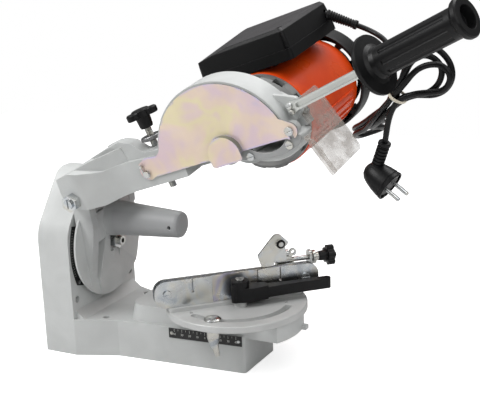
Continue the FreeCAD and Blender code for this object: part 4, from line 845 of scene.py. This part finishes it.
@dataclass
class Table:
    """The turntable and its rail vise."""

    thread_start: Vector = field(default_factory=lambda: Vector((79.0, 11.0, 115.5)))
    thread_turns: float = 18.0
    ring_face: Vector = field(default_factory=lambda: Vector((58.0, -3.05, 141.6)))

    def build(self) -> None:
        """Dresses the nodes, cuts the feed thread and sets the dark retaining ring on the pawl's pin."""
        dress(Paint.MACHINED, "turntable")
        dress(Paint.ZINC, "table_pivot_bolt", "table_pivot_nut", "rail_rear", "cheek_left", "cheek_right",
              "rail_screws", "lever_bolt", "stop_bracket", "stop_carriage", "pawl", "pawl_pin", "feed_screw")
        dress(Paint.PLATED, "rail_front")
        dress(Paint.LEVER, "clamp_lever")
        dress(Paint.BLACK, "feed_knob")
        thread = helix(self.thread_start, Vector((1, 0, 0)), 2.7, 1.0, self.thread_turns,
                       [(0, -0.45), (0.33, 0), (0, 0.45)], 20)
        add_piece("feed_thread", thread, Frame.TABLE, "feed", Paint.ZINC)
        ring = spun([(0, 3.1), (0, 5.3), (0.3, 5.6), (1.0, 5.6), (1.3, 5.3), (1.3, 3.1)], self.ring_face,
                    Vector((0, -1, 0)), 48)
        add_piece("pawl_retaining_ring", ring, Frame.TABLE, "chain_stop", Paint.LEVER)


@dataclass
class Head:
    """The tilting head and the arm hinge."""

    wire: float = 1.5
    coil: float = 9.8
    pitch: float = 3.4
    turns: float = 10.0
    spring_start: float = -36.0

    def build(self) -> None:
        """Dresses the nodes and winds the spring."""
        dress(Paint.HEAD, "head_casting")
        dress(Paint.ZINC, "hinge_bolt", "hinge_nut")
        section = [(self.wire * math.cos(a), self.wire * math.sin(a)) for a in
                   (math.tau * i / 10 for i in range(10))]
        spring = helix(Vector((HINGE.x, self.spring_start + self.wire, HINGE.z)), Vector((0, 1, 0)), self.coil,
                       self.pitch, self.turns - 1, section)
        add_piece("spring_coils", spring, Frame.HEAD, "head", Paint.STEEL, ("return_spring",))


@dataclass
class DepthStop:
    """The depth stop: threaded screw, knurled lock nut and wing knob."""

    u: float = -104.0
    w: float = 7.5
    thread_low: float = -20.0
    thread_turns: float = 62.0
    knurl_degrees: float = 5.0
    knurl_depth: float = 0.965

    def build(self) -> None:
        """Dresses the nodes, cuts the thread and knurls the nut."""
        dress(Paint.ZINC, "stop_screw")
        dress(Paint.BLACK, "stop_knob")
        up = Vector((0, 0, 1))
        thread = helix(Vector((self.u, self.w, self.thread_low)), up, 3.95, 1.25, self.thread_turns,
                       [(0, -0.5), (0.5, 0), (0, 0.5)], 18)
        add_piece("stop_thread", thread, Frame.ARM, "depth_screw", Paint.ZINC)
        nut = spun([(42, 4.2), (42, 9), (43.5, 13.4), (47, 13.4), (48, 12.4), (48, 4.2)],
                   Vector((self.u, self.w, 0)), up, 72)
        centre = Vector((self.u, self.w))
        for vert in nut.verts:
            flat = vert.co.xy - centre
            if flat.length > 13:
                turn = round(math.degrees(math.atan2(flat.y, flat.x)) / self.knurl_degrees)
                vert.co.xy = centre + flat * (self.knurl_depth if turn % 2 else 1.0)
        add_piece("lock_nut_knurled", nut, Frame.ARM, "depth_lock", Paint.DULL_ZINC, ("lock_nut",), smooth=20)


@dataclass
class Arm:
    """Arm and guard casting with cover, crescent plate, handle and clear shield."""

    def build(self) -> None:
        """Dresses the nodes."""
        dress(Paint.CASTING, "arm_casting")
        dress(Paint.BRACKET, "guard_bracket")
        dress(Paint.COVER, "guard_cover")
        dress(Paint.ZINC, "cover_pin", "cover_clip", "cover_screw", "guard_screws", "spindle_nut")
        dress(Paint.STEEL, "flanges", "rotor_shaft", "bearings")
        dress(Paint.ALUMINIUM, "handle_bar")
        dress(Paint.GRIP, "hand_grip")
        dress(Paint.CLEAR, "clear_shield")


@dataclass
class Motor:
    """The motor's shells and what is in them."""

    def build(self) -> None:
        """Dresses the nodes."""
        dress(Paint.MOTOR_GREY, "end_shield")
        dress(Paint.ORANGE, "motor_housing")
        dress(Paint.LEVER, "rear_cover", "fan")
        dress(Paint.LAMINATION, "stator")


@dataclass
class SwitchBox:
    """The box on the motor and the cord's strain relief."""

    gland_start: Vector
    gland_end: Vector
    ribs: int = 10

    def build(self) -> None:
        """Dresses the box and turns the ribbed strain relief."""
        dress(Paint.BLACK, "switch_box", "rocker_switch")
        dress(Paint.LID, "box_lid")
        dress(Paint.ZINC, "lid_screws")
        axis = self.gland_end - self.gland_start
        length = axis.length
        profile = [(-1.6, 0.0), (-1.6, 4.0), (1.4, 4.0), (1.4, 6.7), (3.6, 6.7)]
        for rib in range(self.ribs):
            at = 4.6 + rib * (length - 10) / self.ribs
            radius = 6.6 - 1.3 * rib / self.ribs
            profile += [(at, radius - 0.9), (at + 0.9, radius - 0.9), (at + 1.2, radius), (at + 2.6, radius - 0.1)]
        profile += [(length - 4.4, 4.8), (length - 4, 5.9), (length - 0.4, 5.9), (length, 5.5), (length, 0.0)]
        add_piece("strain_relief", spun(profile, self.gland_start, axis, 32), Frame.ARM, "arm", Paint.SHEATH,
                  ("cord_gland",), smooth=50)


@dataclass
class PowerCord:
    """The power cord: one length from the strain relief through the tied hank to the plug."""

    diameter: float = 6.6
    sleeve_rings: int = 6
    pin_spread: float = 9.5
    clip_spread: float = 15.4
    lead: tuple[tuple[float, float, float], ...] = (
        CORD_EXIT, (119, 226.6, 43.5), (146, 190, 26), (164, 140, 15), (178, 98, 10), (189, 68, 3),
        (194, 47, -6))
    wide_loop: tuple[tuple[float, float, float], ...] = (
        (205.3, 31.6, 4.8), (224.2, 30, 26.9), (235.5, 31, 41.4), (251.2, 31, 45.5), (265.2, 30, 39.2),
        (274.4, 29, 22.1), (272.3, 29, 4.7), (261.1, 29, -6.7), (245.1, 30, -9.8), (229, 31, -4.9),
        (209.6, 31.6, -0.1))
    low_fold: tuple[tuple[float, float, float], ...] = (
        (185, 43.2, -15.1), (157.1, 65.7, -24), (132.1, 87.2, -29.6), (121.3, 117.1, -37.6),
        (123, 136.7, -43.9), (115.3, 162.2, -52.5), (84.1, 153.9, -52.5), (90.2, 128, -43.9),
        (101.7, 109.5, -37.6), (126.7, 82.5, -29.6), (152.9, 62.9, -19.4), (182.5, 44.7, -8.9))
    inner_loop: tuple[tuple[float, float, float], ...] = (
        (202.7, 26, 7), (223.4, 25, 21.9), (235, 25, 33.2), (249, 25, 37.4), (261.4, 25, 30.7),
        (266.3, 25, 16.9), (257.4, 25, 2.6), (241.5, 26, -4.5), (224.6, 26, -2.4), (211.3, 26, -2.9))
    high_fold: tuple[tuple[float, float, float], ...] = (
        (181.5, 37.3, -15.1), (155.1, 61.1, -28.6), (133.3, 85.5, -36.4), (125.2, 105.7, -41.8),
        (126.1, 124.9, -49.1), (118.4, 150.5, -57.6), (87.2, 142.2, -57.6), (93.3, 116.2, -49.1),
        (105.6, 98.1, -41.8), (127.9, 80.8, -36.4), (150.9, 58.3, -24), (179, 38.8, -8.9))
    front_loop: tuple[tuple[float, float, float], ...] = (
        (204.4, 20.4, 4.1), (224.8, 19, 15.5), (234.9, 18, 21.9), (245.8, 18, 26), (258.5, 18, 26),
        (270.3, 18, 21.3), (274.9, 18, 6.5), (262.3, 18, -5.5), (244.7, 19, -2.4), (227.3, 19, 1),
        (208.7, 20.4, -0.8))
    plug_lead: tuple[tuple[float, float, float], ...] = (
        (196, 22, -10), (187, 23, -21), (180, 24, -32), (173, 26, -43))

    tie_centre: Vector = field(default_factory=lambda: Vector((207, 26, 2)))
    tie_axis: Vector = field(default_factory=lambda: Vector((0.75, -0.1, 0.65)))
    sleeve_start: Vector = field(default_factory=lambda: Vector((173, 26, -43)))
    plug_face: Vector = field(default_factory=lambda: Vector((160.6, 23.0, -93.4)))
    plug_axis: Vector = field(default_factory=lambda: Vector((0.60, -0.17, -0.78)))
    pin_line: Vector = field(default_factory=lambda: Vector((-0.157, -0.98, 0.096)))

    def build(self) -> None:
        """Lays the cord, ties it and builds the plug."""
        band = spun([(-1.6, 10.0), (-1.6, 11.0), (0, 11.3), (1.6, 11.0), (1.6, 10.0)], self.tie_centre,
                    self.tie_axis, 48)
        tie = add_piece("tie_band", band, Frame.ARM, "arm", Paint.TIE, ("cord_tie",))
        ends = [tie, self.plug_body(), self.plug_pins()]
        route = [*self.lead, *self.wide_loop, *self.low_fold, *self.inner_loop, *self.high_fold, *self.front_loop,
                 *self.plug_lead]
        points = [Frame.ARM.value @ Vector(p) for p in route]
        curve = bpy.data.curves.new("power_cord", "CURVE")
        curve.dimensions = "3D"
        curve.bevel_depth = 1.0  # the points hold the real radius, which keeps the curve's own box tight
        curve.bevel_resolution = 5
        curve.use_fill_caps = True
        curve.resolution_u = 8
        spline = curve.splines.new("NURBS")
        spline.points.add(len(points) - 1)
        for point, place in zip(spline.points, points):
            point.co = (*place, 1.0)
            point.radius = self.diameter / 2 * MM
        spline.order_u = 3
        spline.use_endpoint_u = True
        cord = bpy.data.objects.new("power_cord", curve)
        bpy.context.scene.collection.objects.link(cord)
        curve.materials.append(Paint.SHEATH.material())
        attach(cord, "arm")
        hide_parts("cord_lead", "cord_hank", "plug_lead")
        length = self.spline_length(cord)
        LOG.info("power cord is %.3f m long", length)

    def plug_body(self) -> bpy.types.Object:
        """Moulds the angled plug: ringed sleeve, rounded back and a recessed face with a raised middle."""
        axis = self.plug_axis.normalized()
        joint = self.plug_face - axis * 24
        reach = (joint - self.sleeve_start).length
        ribs = [(0, 0.0), (0, 6.2), (0.8, 7.2), (3.6, 7.4), (4.4, 6.6)]
        for step in range(self.sleeve_rings):
            at = 5.6 + step * 4.2
            ribs += [(at, 5.6), (at + 1.2, 5.6), (at + 1.6, 6.9), (at + 3.6, 7.0)]
        ribs += [(reach - 8, 8.4), (reach, 10.5), (reach + 5, 6.0), (reach + 6, 0.0)]
        sleeve = spun(ribs, self.sleeve_start, joint - self.sleeve_start, 40)
        back = [(-36, 0.0), (-35.4, 4.0), (-33.5, 8.2), (-29.5, 12.0), (-23, 14.6), (-15, 16.6), (-6, 18.0),
                (-5.4, 17.5), (-4.4, 17.5), (-3.8, 18.2), (-0.8, 18.5), (0, 18.0), (0, 16.6), (-3.4, 16.2),
                (-3.4, 13.4), (-1.2, 13.0), (-1.2, 0.0)]
        return add_piece("plug_body", merged([sleeve, spun(back, self.plug_face, axis, 64)]), Frame.ARM, "arm",
                         Paint.SHEATH, ("plug",), smooth=35)

    def plug_pins(self) -> bpy.types.Object:
        """Turns the two round pins and bends the earth clips at the rim."""
        axis = self.plug_axis.normalized()
        across = self.pin_line.normalized()
        side = axis.cross(across)
        pins = []
        for sign in (-1, 1):
            pins.append(spun([(-1.5, 0.0), (-1.5, 2.4), (17.6, 2.4), (18.6, 1.9), (19.0, 1.0), (19.0, 0.0)],
                             self.plug_face + across * sign * self.pin_spread, axis, 32))
            clip = bar(Vector((-2.4, -0.5, -3.0)), Vector((2.4, 0.5, 0.6)))
            turned = Matrix((across, side, axis)).transposed().to_4x4()
            middle = self.plug_face + side * sign * self.clip_spread
            bmesh.ops.transform(clip, matrix=Matrix.Translation(middle) @ turned, verts=clip.verts)
            pins.append(clip)
        return add_piece("plug_pins", merged(pins), Frame.ARM, "arm", Paint.ZINC)

    @staticmethod
    def spline_length(cord: bpy.types.Object) -> float:
        """Measures the cord's line."""
        depth = cord.data.bevel_depth
        cord.data.bevel_depth = 0.0
        bpy.context.view_layer.update()
        line = bpy.data.meshes.new_from_object(cord)
        cord.data.bevel_depth = depth
        total = sum((line.vertices[e.vertices[0]].co - line.vertices[e.vertices[1]].co).length for e in line.edges)
        bpy.data.meshes.remove(line)
        return total


def dressed_box() -> list[list[float]]:
    """Measures the box of the shown pieces by their vertices, because a spline's own box is loose."""
    bpy.context.view_layer.update()
    graph = bpy.context.evaluated_depsgraph_get()
    low, high = Vector((1e9,) * 3), Vector((-1e9,) * 3)
    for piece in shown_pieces():
        shown = piece.evaluated_get(graph)
        mesh = shown.to_mesh()
        for vert in mesh.vertices:
            place = shown.matrix_world @ vert.co
            low = Vector(map(min, low, place))
            high = Vector(map(max, high, place))
        shown.to_mesh_clear()
    return [list(low), list(high)]


def main() -> None:
    """Builds everything in order."""
    logging.basicConfig(level=logging.INFO, format="%(name)s: %(message)s")
    bpy.context.scene.view_settings.view_transform = "Standard"
    Studio().build()
    PowerCord().build()
    Base().build()
    Table().build()
    Head().build()
    DepthStop().build()
    Arm().build()
    Motor().build()
    SwitchBox(Vector(GLAND_START), Vector(CORD_EXIT)).build()
    boxes = {"model": [list(corner) for corner in MODEL_BOX], "dressed": dressed_box()}


if __name__ == "__main__":
    main()
